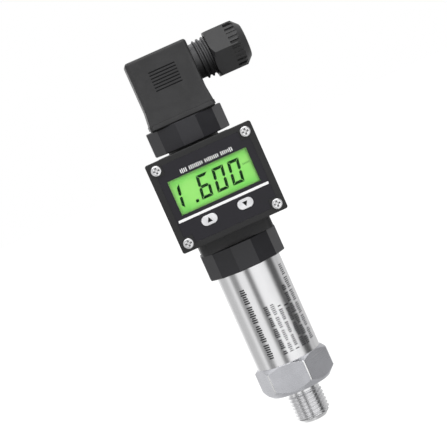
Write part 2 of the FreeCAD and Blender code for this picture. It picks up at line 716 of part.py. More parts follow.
def lower_collar():
    """Collar that grips the tube and carries the contact base."""
    body = new_body("lower_collar")
    collar_blank(body, "lower_collar_height")
    socket = "(tube_diameter / 2 + press_clearance)"
    groove = f"{socket} + tube_seal_groove_depth"
    low = "(tube_engagement - tube_seal_groove_width) / 2"
    high = "(tube_engagement + tube_seal_groove_width) / 2"
    way, seat = "contact_bore_diameter / 2", "contact_seat_diameter / 2"
    shelf = "lower_collar_height - contact_seat_depth"
    bore = outline(sketch_on(body, "XZ_Plane"), (
        ("0", "0"), (socket, "0"), (socket, low), (groove, low), (groove, high), (socket, high),
        (socket, "tube_engagement"), (way, "tube_engagement"), (way, shelf), (seat, shelf),
        (seat, "lower_collar_height"), ("0", "lower_collar_height")))
    revolve(body, bore, cut=True)
    return lift(body, COLLAR_BASE)


def tube_o_ring():
    """Seal round the tube, in the collar's groove."""
    outer = "(tube_diameter + 2 * press_clearance + 2 * tube_seal_groove_depth)"
    ring = torus(f"(tube_diameter + {outer}) / 2",
                 f"({outer} - tube_diameter) / 2 - press_clearance",
                 f"{COLLAR_BASE} + tube_engagement / 2")
    return labelled(ring, "tube_o_ring")


def upper_collar():
    """Collar screwed into the display housing by its shank, with the upper contact base."""
    body = new_body("upper_collar")
    collar_blank(body, "upper_collar_height")
    pad(body, circle(sketch_on(body, "XY_Plane"), "shank_diameter"), "shank_length", reverse=True)
    way, seat, shank = "contact_bore_diameter / 2", "contact_seat_diameter / 2", "shank_bore / 2"
    shelf = "upper_collar_height - contact_seat_depth"
    floor = "upper_collar_height - contact_bore_depth"
    bore = outline(sketch_on(body, "XZ_Plane"), (
        ("0", "-shank_length"), (shank, "-shank_length"), (shank, floor), (way, floor),
        (way, shelf), (seat, shelf), (seat, "upper_collar_height"), ("0", "upper_collar_height")))
    revolve(body, bore, cut=True)
    return lift(body, UPPER_COLLAR_BASE)


CONTACT_PLACES = tuple(
    (f"{across} * contact_spacing / 2", f"{deep} * contact_spacing / 2")
    for across, deep in ((1, 0), (-1, 0), (0, 1), (0, -1)))


def across_blades(sketch, thickness, width):
    """One rectangle for each of the four contacts, thin towards the middle."""
    for n, (x, y) in enumerate(CONTACT_PLACES):
        size = (thickness, width) if n < 2 else (width, thickness)
        rectangle(sketch, *size, x=x, y=y)
    return sketch


def contact_base(label, height, centre_hole):
    """Moulded base in a collar's recess, with a square pad and slots for four blades."""
    body = new_body(label)
    disc = "contact_seat_diameter - 2 * press_clearance"
    pad(body, circle(sketch_on(body, "XY_Plane"), disc), "contact_seat_depth", reverse=True)
    square = rectangle(sketch_on(body, "XY_Plane"), "contact_pad_width", "contact_pad_width")
    pad(body, square, "contact_pad_height")
    depth = "contact_pad_height + contact_seat_depth"
    slots = across_blades(sketch_on(body, "XY_Plane", "contact_pad_height"),
                          "(blade_thickness + 2 * press_clearance)",
                          "(blade_width + 2 * press_clearance)")
    pocket(body, slots, depth)
    hole = circle(sketch_on(body, "XY_Plane", "contact_pad_height"), centre_hole)
    pocket(body, hole, depth)
    return lift(body, height)


def contact_blades(label, height):
    """Three flat contacts and the earth contact."""
    length, foot = "blade_reach + blade_tail", f"{height} - blade_tail"
    blades = []
    for n, (x, y) in enumerate(CONTACT_PLACES):
        size = ("blade_thickness", "blade_width") if n < 2 else ("blade_width", "blade_thickness")
        blades.append(box(*size, length, x=x, y=y, z=foot))
    return group(label, blades)


def contact_block(label, height, width, depth):
    """Moulded female block over the blades, with a sleeve pocket for each contact."""
    body = new_body(label)
    clear = "2 * loose_clearance"
    outer = rectangle(sketch_on(body, "XY_Plane"), f"({width} - {clear})", f"({depth} - {clear})")
    pad(body, outer, "contact_block_height")
    wall = "2 * (contact_sleeve_wall + press_clearance + loose_clearance)"
    pockets = across_blades(sketch_on(body, "XY_Plane"), f"(blade_thickness + {wall})",
                            f"(blade_width + {wall})")
    pocket(body, pockets, "contact_block_height - contact_roof", reverse=True)
    hole = circle(sketch_on(body, "XY_Plane"), "long_screw_hole")
    pocket(body, hole, "contact_block_height", reverse=True)
    holes = sketch_on(body, "XY_Plane")
    for x, y in CONTACT_PLACES:
        circle(holes, "clamp_screw_diameter + 2 * press_clearance", x, y)
    pocket(body, holes, "contact_block_height", reverse=True)
    return lift(body, f"{height} + contact_pad_height + stack_gap")


def contact_sleeves(label, height):
    """Spring sleeves that hold the blades, at the roof of the block's pockets."""
    roof = f"{height} + contact_pad_height + stack_gap + contact_block_height - contact_roof"
    foot = f"{roof} - contact_sleeve_length"
    gap = "2 * press_clearance"
    sleeves = []
    for n, (x, y) in enumerate(CONTACT_PLACES):
        inner = (f"(blade_thickness + {gap})", f"(blade_width + {gap})")
        outer = tuple(f"({size} + 2 * contact_sleeve_wall)" for size in inner)
        if n > 1:
            inner, outer = inner[::-1], outer[::-1]
        sleeves.append(without(box(*outer, "contact_sleeve_length", x=x, y=y, z=foot),
                               box(*inner, "contact_sleeve_length", x=x, y=y, z=foot)))
    return group(label, sleeves)


def clamp_screws(label, height):
    """Slotted screws over the contacts."""
    top = f"{height} + contact_pad_height + stack_gap + contact_block_height"
    head_top = f"{top} + clamp_screw_head_height"
    screws = []
    for x, y in CONTACT_PLACES:
        screws.append(without(
            fused(cylinder("clamp_screw_diameter", "contact_roof", x, y, f"{top} - contact_roof"),
                  cylinder("clamp_screw_head", "clamp_screw_head_height", x, y, top)),
            box("clamp_screw_head", "clamp_screw_slot", "clamp_screw_slot", x=x, y=y,
                z=f"{head_top} - clamp_screw_slot")))
    return group(label, screws)


def lower_contact_base():
    return contact_base("lower_contact_base", HUB_BASE,
                        "(centre_nut_diameter + 2 * press_clearance)")


def upper_contact_base():
    return contact_base("upper_contact_base", UPPER_COLLAR_TOP, "long_screw_hole")


def lower_contact_blades():
    return contact_blades("lower_contact_blades", HUB_BASE)


def upper_contact_blades():
    return contact_blades("upper_contact_blades", UPPER_COLLAR_TOP)


def centre_nut():
    """Threaded insert in the lower contact base, for the long screw."""
    foot = f"{HUB_BASE} - contact_seat_depth"
    length = "contact_seat_depth + contact_pad_height"
    nut = without(cylinder("centre_nut_diameter", length, z=foot),
                  cylinder("long_screw_diameter + 2 * press_clearance", length, z=foot))
    return labelled(nut, "centre_nut")


HUB_CAVITY = ("(hub_width - 2 * hub_wall)", "(hub_depth - 2 * hub_wall)")
PLUG_CAVITY = ("(plug_width - 2 * plug_wall)", "(plug_depth - 2 * plug_wall)")
GASKET_WINDOW = "(contact_pad_width + 2 * gasket_window_clearance)"


def hub_contact_block():
    return contact_block("hub_contact_block", HUB_BASE, *HUB_CAVITY)


def hub_contact_sleeves():
    return contact_sleeves("hub_contact_sleeves", HUB_BASE)


def plug_contact_block():
    return contact_block("plug_contact_block", UPPER_COLLAR_TOP, *PLUG_CAVITY)


def plug_contact_sleeves():
    return contact_sleeves("plug_contact_sleeves", UPPER_COLLAR_TOP)


def hub_terminal_screws():
    return clamp_screws("hub_terminal_screws", HUB_BASE)


def plug_terminal_screws():
    return clamp_screws("plug_terminal_screws", UPPER_COLLAR_TOP)


def hub_gasket():
    """Flat gasket on the lower collar, inside the hub."""
    body = new_body("hub_gasket")
    width, depth = (f"({size} - 2 * loose_clearance)" for size in HUB_CAVITY)
    pad(body, rectangle(sketch_on(body, "XY_Plane"), width, depth), "gasket_thickness")
    window = rectangle(sketch_on(body, "XY_Plane"), GASKET_WINDOW, GASKET_WINDOW)
    pocket(body, window, "gasket_thickness", reverse=True)
    return lift(body, HUB_BASE)


def plug_gasket():
    """Gasket under the plug, with an inner rim that centres it."""
    body = new_body("plug_gasket")
    spread = "2 * flange_lap - 2 * gasket_inset"
    sheet_outline = rectangle(sketch_on(body, "XY_Plane"), f"(plug_width + {spread})",
                              f"(plug_depth + {spread})")
    pad(body, sheet_outline, "gasket_seam")
    width, depth = (f"({size} - 2 * loose_clearance)" for size in PLUG_CAVITY)
    pad(body, rectangle(sketch_on(body, "XY_Plane"), width, depth), "gasket_thickness")
    window = rectangle(sketch_on(body, "XY_Plane"), GASKET_WINDOW, GASKET_WINDOW)
    pocket(body, window, "gasket_thickness", reverse=True)
    return lift(body, UPPER_COLLAR_TOP)


# Display housing and front

SCREW_PLACES = tuple(
    (f"{across} * screw_spacing_x / 2", level)
    for across in (-1, 1) for level in (SCREW_LOW, SCREW_HIGH))
POST_PLACES = tuple(
    (f"{across} * post_spacing_x / 2", f"{BOX_MIDDLE} + {up} * post_spacing_z / 2")
    for across in (-1, 1) for up in (-1, 1))


def screw_notched(sketch, width, low, high, reach):
    """A rectangle from low to high with a square left out at each screw's corner."""
    side, inner = f"({width}) / 2", f"(screw_spacing_x / 2 - {reach})"
    step_low, step_high = f"{SCREW_LOW} + {reach}", f"{SCREW_HIGH} - {reach}"
    half = ((inner, low), (inner, step_low), (side, step_low),
            (side, step_high), (inner, step_high), (inner, high))
    mirrored = tuple((f"-{x}", z) for x, z in reversed(half))
    return outline(sketch, half + mirrored)


def display_housing():
    """Moulded housing: square hub with its socket, display box in front and boss on top."""
    body = new_body("display_housing")
    hub = rectangle(sketch_on(body, "XY_Plane", HUB_BASE), "hub_width", "hub_depth")
    pad(body, hub, f"{BOX_HIGH} - {HUB_BASE}")
    rounded(body, "hub_corner_radius", along(Z))
    shell = rectangle(sketch_on(body, "XZ_Plane", f"{BOX_FRONT} - box_depth"), BOX_WIDTH,
                      BOX_HEIGHT, y=BOX_MIDDLE)
    pad(body, shell, "box_depth")
    side = measure(f"{BOX_WIDTH} / 2")
    rounded(body, "box_corner_radius", along(Y, lambda middle: abs(abs(middle.x) - side) < TOUCH))
    boss = circle(sketch_on(body, "XY_Plane", BOX_HIGH), "boss_diameter")
    pad(body, boss, f"{UPPER_COLLAR_BASE} - {BOX_HIGH}")
    inside = rectangle(sketch_on(body, "XZ_Plane", BOX_FRONT), f"{BOX_WIDTH} - 2 * box_wall",
                       f"{BOX_HEIGHT} - 2 * box_wall", y=BOX_MIDDLE)
    pocket(body, inside, "box_cavity_depth")
    pillars = sketch_on(body, "XZ_Plane", BOX_FRONT)
    for x, z in SCREW_PLACES:
        circle(pillars, f"2 * {PILLAR}", x, z)
    pad(body, pillars, "box_cavity_depth", reverse=True)
    posts = sketch_on(body, "XZ_Plane", BOX_FLOOR)
    for x, z in POST_PLACES:
        circle(posts, "post_diameter", x, z)
    pad(body, posts, f"{BOARD_BACK} - {BOX_FLOOR}")
    socket = rectangle(sketch_on(body, "XY_Plane", HUB_BASE), *HUB_CAVITY)
    pocket(body, socket, "hub_socket_depth", reverse=True)
    channel = circle(sketch_on(body, "XY_Plane", UPPER_COLLAR_BASE), "channel_diameter")
    pocket(body, channel, f"{UPPER_COLLAR_BASE} - {HUB_BASE} - hub_socket_depth")
    mouth = circle(sketch_on(body, "XY_Plane", UPPER_COLLAR_BASE),
                   "shank_diameter + 2 * press_clearance")
    pocket(body, mouth, "shank_length + stack_gap")
    wire_way = rectangle(sketch_on(body, "XZ_Plane", BOX_FLOOR), "channel_diameter / 2",
                         "channel_diameter / 2", y=WINDOW_CENTRE)
    pocket(body, wire_way, BOX_FLOOR)
    holes = sketch_on(body, "XZ_Plane", BOX_FRONT)
    for x, z in SCREW_PLACES:
        circle(holes, "cover_screw_diameter + 2 * press_clearance", x, z)
    pocket(body, holes, "cover_screw_length - plate_thickness - face_gasket_thickness + stack_gap")
    pilots = sketch_on(body, "XZ_Plane", BOARD_BACK)
    for x, z in POST_PLACES:
        circle(pilots, "board_screw_diameter + 2 * press_clearance", x, z)
    pocket(body, pilots, "board_screw_length - board_thickness + stack_gap")
    return body


def face_gasket():
    """Gasket frame between the housing's rim and the front plate."""
    body = new_body("face_gasket")
    outer = rectangle(sketch_on(body, "XZ_Plane", BOX_FRONT), f"{BOX_WIDTH} - 2 * stack_gap",
                      f"{BOX_HEIGHT} - 2 * stack_gap", y=BOX_MIDDLE)
    pad(body, outer, "face_gasket_thickness")
    window = screw_notched(sketch_on(body, "XZ_Plane", BOX_FRONT), f"{BOX_WIDTH} - 2 * box_wall",
                           f"{BOX_LOW} + box_wall", f"{BOX_HIGH} - box_wall", PILLAR)
    pocket(body, window, "face_gasket_thickness", reverse=True)
    holes = sketch_on(body, "XZ_Plane", BOX_FRONT)
    for x, z in SCREW_PLACES:
        circle(holes, "cover_screw_diameter + 2 * loose_clearance", x, z)
    pocket(body, holes, "face_gasket_thickness", reverse=True)
    return body


def front_plate():
    """Front plate with the display window, two key holes and four screw holes."""
    body = new_body("front_plate")
    middle = f"({PLATE_BASE} + plate_height / 2)"
    blank = rectangle(sketch_on(body, "XZ_Plane", PLATE_BACK), "plate_width", "plate_height",
                      y=middle)
    pad(body, blank, "plate_thickness")
    rounded(body, "plate_corner_radius", along(Y))
    rounded(body, "plate_edge_radius", in_plane("Y", "-plate_front"))
    label_bed = label_outline(sketch_on(body, "XZ_Plane", "plate_front"), "stack_gap / 2")
    pocket(body, label_bed, "label_thickness")
    window = rectangle(sketch_on(body, "XZ_Plane", "plate_front"), "window_width",
                       "window_height", y=WINDOW_CENTRE)
    pocket(body, window, "plate_thickness")
    rebate = rectangle(sketch_on(body, "XZ_Plane", PLATE_BACK),
                       "(window_width + 2 * pane_lap + 2 * press_clearance)",
                       "(window_height + 2 * pane_lap + 2 * press_clearance)", y=WINDOW_CENTRE)
    pocket(body, rebate, "pane_thickness", reverse=True)
    ovals = sketch_on(body, "XZ_Plane", "plate_front")
    for side in (-1, 1):
        slot(ovals, "(key_length + 2 * key_clearance)", "(key_height + 2 * key_clearance)",
             f"{side} * key_spacing / 2", KEY_CENTRE)
    pocket(body, ovals, "plate_thickness")
    holes = sketch_on(body, "XZ_Plane", "plate_front")
    for x, z in SCREW_PLACES:
        circle(holes, "cover_screw_diameter + 2 * loose_clearance", x, z)
    pocket(body, holes, "plate_thickness")
    return body


def label_outline(sketch, spread):
    """The film's outline, a little larger by a spread on every side for its bed."""
    middle = f"({PLATE_BASE} + plate_height / 2)"
    half_height = f"(label_height / 2 + {spread})"
    return screw_notched(sketch, f"label_width + 2 * {spread}", f"{middle} - {half_height}",
                         f"{middle} + {half_height}",
                         f"(cover_head_diameter / 2 + label_margin - {spread})")


def front_label():
    """Printed film in a shallow bed, open over the window and the keys."""
    body = new_body("front_label")
    bed = "(plate_front - label_thickness)"
    pad(body, label_outline(sketch_on(body, "XZ_Plane", bed), "0"), "label_thickness")
    window = rectangle(sketch_on(body, "XZ_Plane", "plate_front"), "window_width",
                       "window_height", y=WINDOW_CENTRE)
    pocket(body, window, "label_thickness")
    ovals = sketch_on(body, "XZ_Plane", "plate_front")
    for side in (-1, 1):
        slot(ovals, "(key_length + 2 * key_clearance)", "(key_height + 2 * key_clearance)",
             f"{side} * key_spacing / 2", KEY_CENTRE)
    pocket(body, ovals, "label_thickness")
    return body


def layer(label, lap, thickness, front):
    """One flat layer of the display, centred behind the window."""
    body = new_body(label)
    sheet_outline = rectangle(sketch_on(body, "XZ_Plane", f"{front} - {thickness}"),
                              f"(window_width + 2 * {lap})", f"(window_height + 2 * {lap})",
                              y=WINDOW_CENTRE)
    pad(body, sheet_outline, thickness)
    return body


def display_window():
    """Clear pane in the plate's rebate."""
    return layer("display_window", "pane_lap", "pane_thickness", PANE_FRONT)


def lcd_glass():
    return layer("lcd_glass", "glass_lap", "glass_thickness", GLASS_FRONT)


def backlight_panel():
    return layer("backlight_panel", "pane_lap", "backlight_thickness", BACKLIGHT_FRONT)


def display_board():
    """Board behind the display, notched round the screw pillars."""
    body = new_body("display_board")
    edge = "(box_wall + board_clearance)"
    blank = screw_notched(sketch_on(body, "XZ_Plane", BOARD_BACK), f"{BOX_WIDTH} - 2 * {edge}",
                          f"{BOX_LOW} + {edge}", f"{BOX_HIGH} - {edge}",
                          f"({PILLAR} + board_clearance)")
    pad(body, blank, "board_thickness")
    holes = sketch_on(body, "XZ_Plane", BOARD_FRONT)
    for x, z in POST_PLACES:
        circle(holes, "board_screw_diameter + 2 * loose_clearance", x, z)
    pocket(body, holes, "board_thickness")
    return body


def key(label, side):
    """Oval key with a flange behind the plate and a stem over its switch."""
    body = new_body(label)
    x = f"{side} * key_spacing / 2"
    back = f"({KEY_FLANGE_FRONT} - key_flange_thickness)"
    cap = slot(sketch_on(body, "XZ_Plane", back), "key_length", "key_height", x, KEY_CENTRE)
    pad(body, cap, f"plate_front + key_proud - {back}")
    flange = slot(sketch_on(body, "XZ_Plane", back), "(key_length + 2 * key_flange_lap)",
                  "(key_height + 2 * key_flange_lap)", x, KEY_CENTRE)
    pad(body, flange, "key_flange_thickness")
    stem = circle(sketch_on(body, "XZ_Plane", back), "key_stem_diameter", x, KEY_CENTRE)
    pad(body, stem, f"{back} - {SWITCH_FRONT} - {PLUNGER_GAP} - stack_gap", reverse=True)
    rounded(body, "key_proud / 2", in_plane("Y", "-plate_front - key_proud"))
    return body


def up_key():
    return key("up_key", -1)


def down_key():
    return key("down_key", 1)


def key_switches():
    """Two dome switches on the display board."""
    switches = []
    for side in (-1, 1):
        body = doc.addObject("PartDesign::Body", "Switch")
        x = f"{side} * key_spacing / 2"
        case = rectangle(sketch_on(body, "XZ_Plane", BOARD_FRONT), "switch_width",
                         "switch_width", x=x, y=KEY_CENTRE)
        pad(body, case, "switch_height")
        plunger = circle(sketch_on(body, "XZ_Plane", SWITCH_FRONT), "switch_plunger_diameter", x,
                         KEY_CENTRE)
        pad(body, plunger, "stack_gap")
        switches.append(body)
    return group("key_switches", switches)


def headed_screw(diameter, length, head, head_height, cross, dome=None):
    """A screw along Y with its head's seat at 0 and its head to the front."""
    body = doc.addObject("PartDesign::Body", "Screw")
    shank = circle(sketch_on(body, "XZ_Plane"), diameter)
    pad(body, shank, length, reverse=True)
    cap = circle(sketch_on(body, "XZ_Plane"), head)
    pad(body, cap, head_height)
    if dome:
        rounded(body, dome, round_edge(head, "Y", f"-({head_height})"))
    span, width, depth = cross
    for size in ((span, width), (width, span)):
        arm = rectangle(sketch_on(body, "XZ_Plane", head_height), *size)
        pocket(body, arm, depth)
    return body


def cover_screws():
    """Four pan-head screws with a cross recess."""
    form = headed_screw("cover_screw_diameter", "cover_screw_length", "cover_head_diameter",
                        "cover_head_height", ("cross_span", "cross_width", "cross_depth"),
                        "cover_head_dome")
    places = [(x, "-plate_front", z) for x, z in SCREW_PLACES]
    return group("cover_screws", copy_of(form, places))


def board_screws():
    """Four small screws that hold the display board on its posts."""
    half = "board_screw_head_height / 2"
    form = headed_screw("board_screw_diameter", "board_screw_length", "board_screw_head",
                        "board_screw_head_height", ("board_screw_diameter", half, half))
    places = [(x, f"-{BOARD_FRONT}", z) for x, z in POST_PLACES]
    return group("board_screws", copy_of(form, places))


# Cable plug

def plug_section(body, width, depth, height):
    """A plain rectangle of the plug at a height above its base."""
    return rectangle(sketch_on(body, "XY_Plane", height), width, depth)


def plug_housing():
    """Angled plug: flange, widening skirt, square body and threaded gland neck."""
    body = new_body("plug_housing")
    pad(body, plug_section(body, "(plug_width + 2 * flange_lap)", "(plug_depth + 2 * flange_lap)",
                           "0"), "flange_height")
    rounded(body, "plug_corner_radius", along(Z))
    pad(body, plug_section(body, "plug_width", "plug_depth", "0"), "plug_height")
    skirt = body.newObject("PartDesign::AdditiveLoft", "Skirt")
    skirt.Profile = plug_section(body, "(plug_width + 2 * plug_skirt_spread)",
                                 "(plug_depth + 2 * plug_skirt_spread)", "flange_height")
    skirt.Sections = [plug_section(body, "plug_width", "plug_depth", "plug_skirt_top")]
    skirt.Ruled = True
    grown(body, skirt, cut=False)
    rounded(body, "plug_corner_radius", steep(measure("flange_height")))
    rounded(body, "plug_top_radius", in_plane("Z", "plug_height"))
    gland_neck(body)
    pocket(body, plug_section(body, *PLUG_CAVITY, "0"), "plug_height - plug_roof", reverse=True)
    recess = circle(sketch_on(body, "XY_Plane", "plug_height"), "screw_recess_diameter")
    pocket(body, recess, "screw_recess_depth")
    hole = circle(sketch_on(body, "XY_Plane", "plug_height"), "long_screw_hole")
    pocket(body, hole, "plug_roof")
    cable_way = outline(sketch_on(body, "XZ_Plane"), (
        (f"{PLUG_SIDE} - plug_wall", "gland_height"), (NECK_END, "gland_height"),
        (NECK_END, "gland_height + seal_seat_diameter / 2"),
        (SEAL_SEAT, "gland_height + seal_seat_diameter / 2"),
        (SEAL_SEAT, "gland_height + neck_bore / 2"),
        (f"{PLUG_SIDE} - plug_wall", "gland_height + neck_bore / 2")))
    turn_round_gland(body, cable_way, cut=True)
    line = rectangle(sketch_on(body, "XZ_Plane", "plug_depth / 2"), "grip_width", "grip_line",
                     y="grip_base")
    first = pocket(body, line, "grip_depth")
    vertical = next(f for f in body.Origin.OriginFeatures if f.Role == "Z_Axis")
    repeat(body, first, "LinearPattern", (vertical, [""]), "grip_count",
           "(grip_count - 1) * grip_pitch")
    return lift(body, PLUG_BASE)


def steep(floor):
    """Picks the upright edges above a level, also where the form widens towards its base."""
    def chosen(edge):
        if edge.Curve.TypeId != "Part::GeomLine" or edge.CenterOfMass.z < floor:
            return False
        run = (edge.lastVertex().Point - edge.firstVertex().Point).normalize()
        return abs(run.z) > 0.9
    return chosen


def turn_round_gland(body, sketch, cut=False):
    """A full turn round the line along the gland, at gland_height in the body's frame."""
    height = measure("gland_height")
    ends = Vector(0, height, 0), Vector(measure(NECK_END), height, 0)
    line = sketch.addGeometry(Part.LineSegment(*ends), True)
    fix_point(sketch, line, 1, "0", "gland_height")
    fix_point(sketch, line, 2, NECK_END, "gland_height")
    return revolve(body, sketch, axis="Axis0", cut=cut)


def gland_neck(body):
    """Neck with its thread as rings; the thread's turns are as many as the neck holds."""
    root, crest = "neck_root_diameter / 2", "neck_thread_diameter / 2"
    neck = outline(sketch_on(body, "XZ_Plane"), (
        (f"{PLUG_SIDE} - plug_wall / 2", "gland_height"), (NECK_END, "gland_height"),
        (NECK_END, f"gland_height + {root}"),
        (f"{PLUG_SIDE} - plug_wall / 2", f"gland_height + {root}")))
    turn_round_gland(body, neck)
    start = f"({PLUG_SIDE} + neck_plain_length)"
    slope = f"({crest} - {root}) / 2"
    ring = outline(sketch_on(body, "XZ_Plane"), (
        (start, f"gland_height + {root} - neck_crest"), (start, f"gland_height + {root}"),
        (f"{start} + {slope}", f"gland_height + {crest}"),
        (f"{start} + {slope} + neck_crest", f"gland_height + {crest}"),
        (f"{start} + 2 * {slope} + neck_crest", f"gland_height + {root}"),
        (f"{start} + 2 * {slope} + neck_crest", f"gland_height + {root} - neck_crest")))
    first = turn_round_gland(body, ring)
    threaded = f"(neck_length - neck_plain_length - 2 * {slope} - neck_crest)"
    turns = int(measure(f"{threaded} / neck_pitch")) + 1
    sideways = next(f for f in body.Origin.OriginFeatures if f.Role == "X_Axis")
    repeat(body, first, "LinearPattern", (sideways, [""]), str(turns), f"{turns - 1} * neck_pitch")


def long_screw():
    """Slotted screw from the plug's top through the display housing to the centre nut."""
    seat = f"({PLUG_BASE} + plug_height - screw_recess_depth + screw_seal_thickness)"
    foot = f"({HUB_BASE} - contact_seat_depth)"
    head_top = f"{seat} + long_screw_head_height"
    screw = without(
        fused(cylinder("long_screw_diameter", f"{seat} - {foot}", z=foot),
              cylinder("long_screw_head", "long_screw_head_height", z=seat)),
        box("long_screw_head", "long_screw_slot_width", "long_screw_slot_depth",
            z=f"{head_top} - long_screw_slot_depth"))
    return labelled(screw, "long_screw")


def screw_seal():
    """Rubber washer under the long screw's head."""
    foot = f"{PLUG_BASE} + plug_height - screw_recess_depth"
    washer = without(
        cylinder("screw_recess_diameter - 2 * loose_clearance", "screw_seal_thickness", z=foot),
        cylinder("long_screw_diameter + 2 * press_clearance", "screw_seal_thickness", z=foot))
    return labelled(washer, "screw_seal")


def gland_sketch(body, lift_along="0"):
    """A sketch across the gland, with the gland's axis through its origin."""
    return sketch_on(body, "YZ_Plane", lift_along)


def cable_seal():
    """Rubber bush in the neck."""
    body = new_body("cable_seal")
    outer = circle(gland_sketch(body, SEAL_SEAT), "seal_seat_diameter - 2 * press_clearance")
    circle(outer, "seal_bore")
    pad(body, outer, "seal_seat_depth - stack_gap")
    return lift(body, GLAND_AXIS)


def clamp_ring():
    """Slip ring that the nut pushes against the seal."""
    body = new_body("clamp_ring")
    start = f"{NUT_FLOOR} - clamp_ring_play - clamp_ring_thickness"
    outer = circle(gland_sketch(body, start), "clamp_ring_diameter")
    circle(outer, "cable_entry_diameter")
    pad(body, outer, "clamp_ring_thickness")
    return lift(body, GLAND_AXIS)


def gland_nut():
    """Hexagonal gland nut with grip notches, a coned end and the cable entry."""
    body = new_body("gland_nut")
    hexagon = polygon(gland_sketch(body, NUT_START), 6, "nut_across_flats", "0")
    pad(body, hexagon, "nut_length")
    notch_outer = "nut_across_flats * 0.65"
    notch = outline(gland_sketch(body, f"{NUT_START} + nut_grip_start"), (
        ("-nut_grip_width / 2", "nut_grip_floor / 2"), ("nut_grip_width / 2", "nut_grip_floor / 2"),
        ("nut_grip_width", notch_outer), ("-nut_grip_width", notch_outer)))
    first = pocket(body, notch, "nut_length - nut_grip_start", reverse=True)
    turning = next(f for f in body.Origin.OriginFeatures if f.Role == "X_Axis")
    repeat(body, first, "PolarPattern", (turning, [""]), "nut_grip_count", 360)
    corner = "nut_across_flats * 0.6"
    cone = outline(sketch_on(body, "XZ_Plane"), (
        (NUT_END, "nut_nose_radius"), (NUT_END, corner),
        (f"{NUT_END} - {corner} + nut_nose_radius", corner)))
    revolve(body, cone, axis="H_Axis", cut=True)
    lead_edge = "nut_across_flats / 2 + nut_lead_chamfer / 4"
    lead = outline(sketch_on(body, "XZ_Plane"), (
        (NUT_START, lead_edge), (NUT_START, f"{lead_edge} + 3 * nut_lead_chamfer"),
        (f"{NUT_START} + 3 * nut_lead_chamfer", f"{lead_edge} + 3 * nut_lead_chamfer")))
    revolve(body, lead, axis="H_Axis", cut=True)
    thread = "(neck_thread_diameter / 2 + nut_thread_clearance)"
    bore = outline(sketch_on(body, "XZ_Plane"), (
        (NUT_START, "0"), (NUT_START, thread), (NUT_FLOOR, thread),
        (NUT_FLOOR, "cable_entry_diameter / 2"), (NUT_END, "cable_entry_diameter / 2"),
        (NUT_END, "0")))
    revolve(body, bore, axis="H_Axis", cut=True)
    rounded(body, "nut_nose_rounding", round_edge("2 * nut_nose_radius", "X", NUT_END))
    return lift(body, GLAND_AXIS)


SUB_PARTS = (
    process_fitting, sensor_capsule, sensor_o_ring, sensor_lock_ring, body_tube,
    board_holder, signal_board, board_chips,
    lower_collar, tube_o_ring, lower_contact_base, lower_contact_blades, centre_nut,
    hub_gasket, hub_contact_block, hub_contact_sleeves, hub_terminal_screws,
    display_housing, face_gasket, front_plate, front_label, display_window, lcd_glass,
    backlight_panel, display_board, board_screws, key_switches, up_key, down_key, cover_screws,
    upper_collar, upper_contact_base, upper_contact_blades, plug_gasket,
    plug_housing, plug_contact_block, plug_contact_sleeves, plug_terminal_screws,
    long_screw, screw_seal, cable_seal, clamp_ring, gland_nut,
)

nodes = [make() for make in SUB_PARTS]
doc.recompute()

failed = [f"{thing.Label}: {thing.State}" for thing in doc.Objects
          if "Invalid" in thing.State or "Error" in thing.State]
for node in nodes:
    if node.Shape.isNull() or not node.Shape.isValid():
        failed.append(f"{node.Label}: no valid shape")
if failed:
    raise RuntimeError("; ".join(failed))

os.makedirs("parts", exist_ok=True)
for node in nodes:
    node.Shape.exportStep(f"parts/{node.Label}.step")
    print(f"{node.Label}: {len(node.Shape.Solids)} solid(s), {node.Shape.Volume:.1f} mm3")
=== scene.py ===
import json
import math

import bmesh
import bpy
from mathutils import Matrix, Vector


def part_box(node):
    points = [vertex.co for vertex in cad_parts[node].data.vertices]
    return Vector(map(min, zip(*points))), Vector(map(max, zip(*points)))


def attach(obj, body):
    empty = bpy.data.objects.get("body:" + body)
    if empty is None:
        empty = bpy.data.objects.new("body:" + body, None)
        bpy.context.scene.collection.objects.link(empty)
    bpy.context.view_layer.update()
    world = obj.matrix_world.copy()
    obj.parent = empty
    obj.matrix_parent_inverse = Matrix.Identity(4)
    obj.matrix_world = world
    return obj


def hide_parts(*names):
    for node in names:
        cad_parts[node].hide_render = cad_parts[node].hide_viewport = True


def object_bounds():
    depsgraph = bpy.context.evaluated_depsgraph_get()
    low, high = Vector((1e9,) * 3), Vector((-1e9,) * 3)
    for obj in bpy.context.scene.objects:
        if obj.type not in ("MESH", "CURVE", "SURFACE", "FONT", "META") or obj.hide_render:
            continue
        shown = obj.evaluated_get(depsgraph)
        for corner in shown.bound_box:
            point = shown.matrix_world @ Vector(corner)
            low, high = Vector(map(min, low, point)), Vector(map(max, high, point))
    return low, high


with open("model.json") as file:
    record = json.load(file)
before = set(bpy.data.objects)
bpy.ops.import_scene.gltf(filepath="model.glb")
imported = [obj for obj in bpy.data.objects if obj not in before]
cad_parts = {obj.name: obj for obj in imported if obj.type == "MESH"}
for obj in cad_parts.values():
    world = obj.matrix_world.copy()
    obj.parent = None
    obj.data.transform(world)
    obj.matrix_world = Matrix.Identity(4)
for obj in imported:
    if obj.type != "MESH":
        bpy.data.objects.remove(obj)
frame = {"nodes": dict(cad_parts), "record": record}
cad_low, cad_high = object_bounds()
nodes = frame["nodes"]

# Metres, in the instrument's own frame: +Z up from the process thread to the cable plug,
# the display faces -Y, the cable gland points along +X.
MM = 0.001


# Camera, at the photograph's place. The instrument leans to the left in the picture.

PICTURE_PIXELS = 447
FOCAL_PIXELS = 1687.083
SENSOR_WIDTH = 36.0
CAMERA_PLACE = Vector((-0.028239, -0.661135, 0.122603))
CAMERA_YAW = math.radians(-2.269)
CAMERA_PITCH = math.radians(-4.440)
CAMERA_LEAN = math.radians(-24.05)


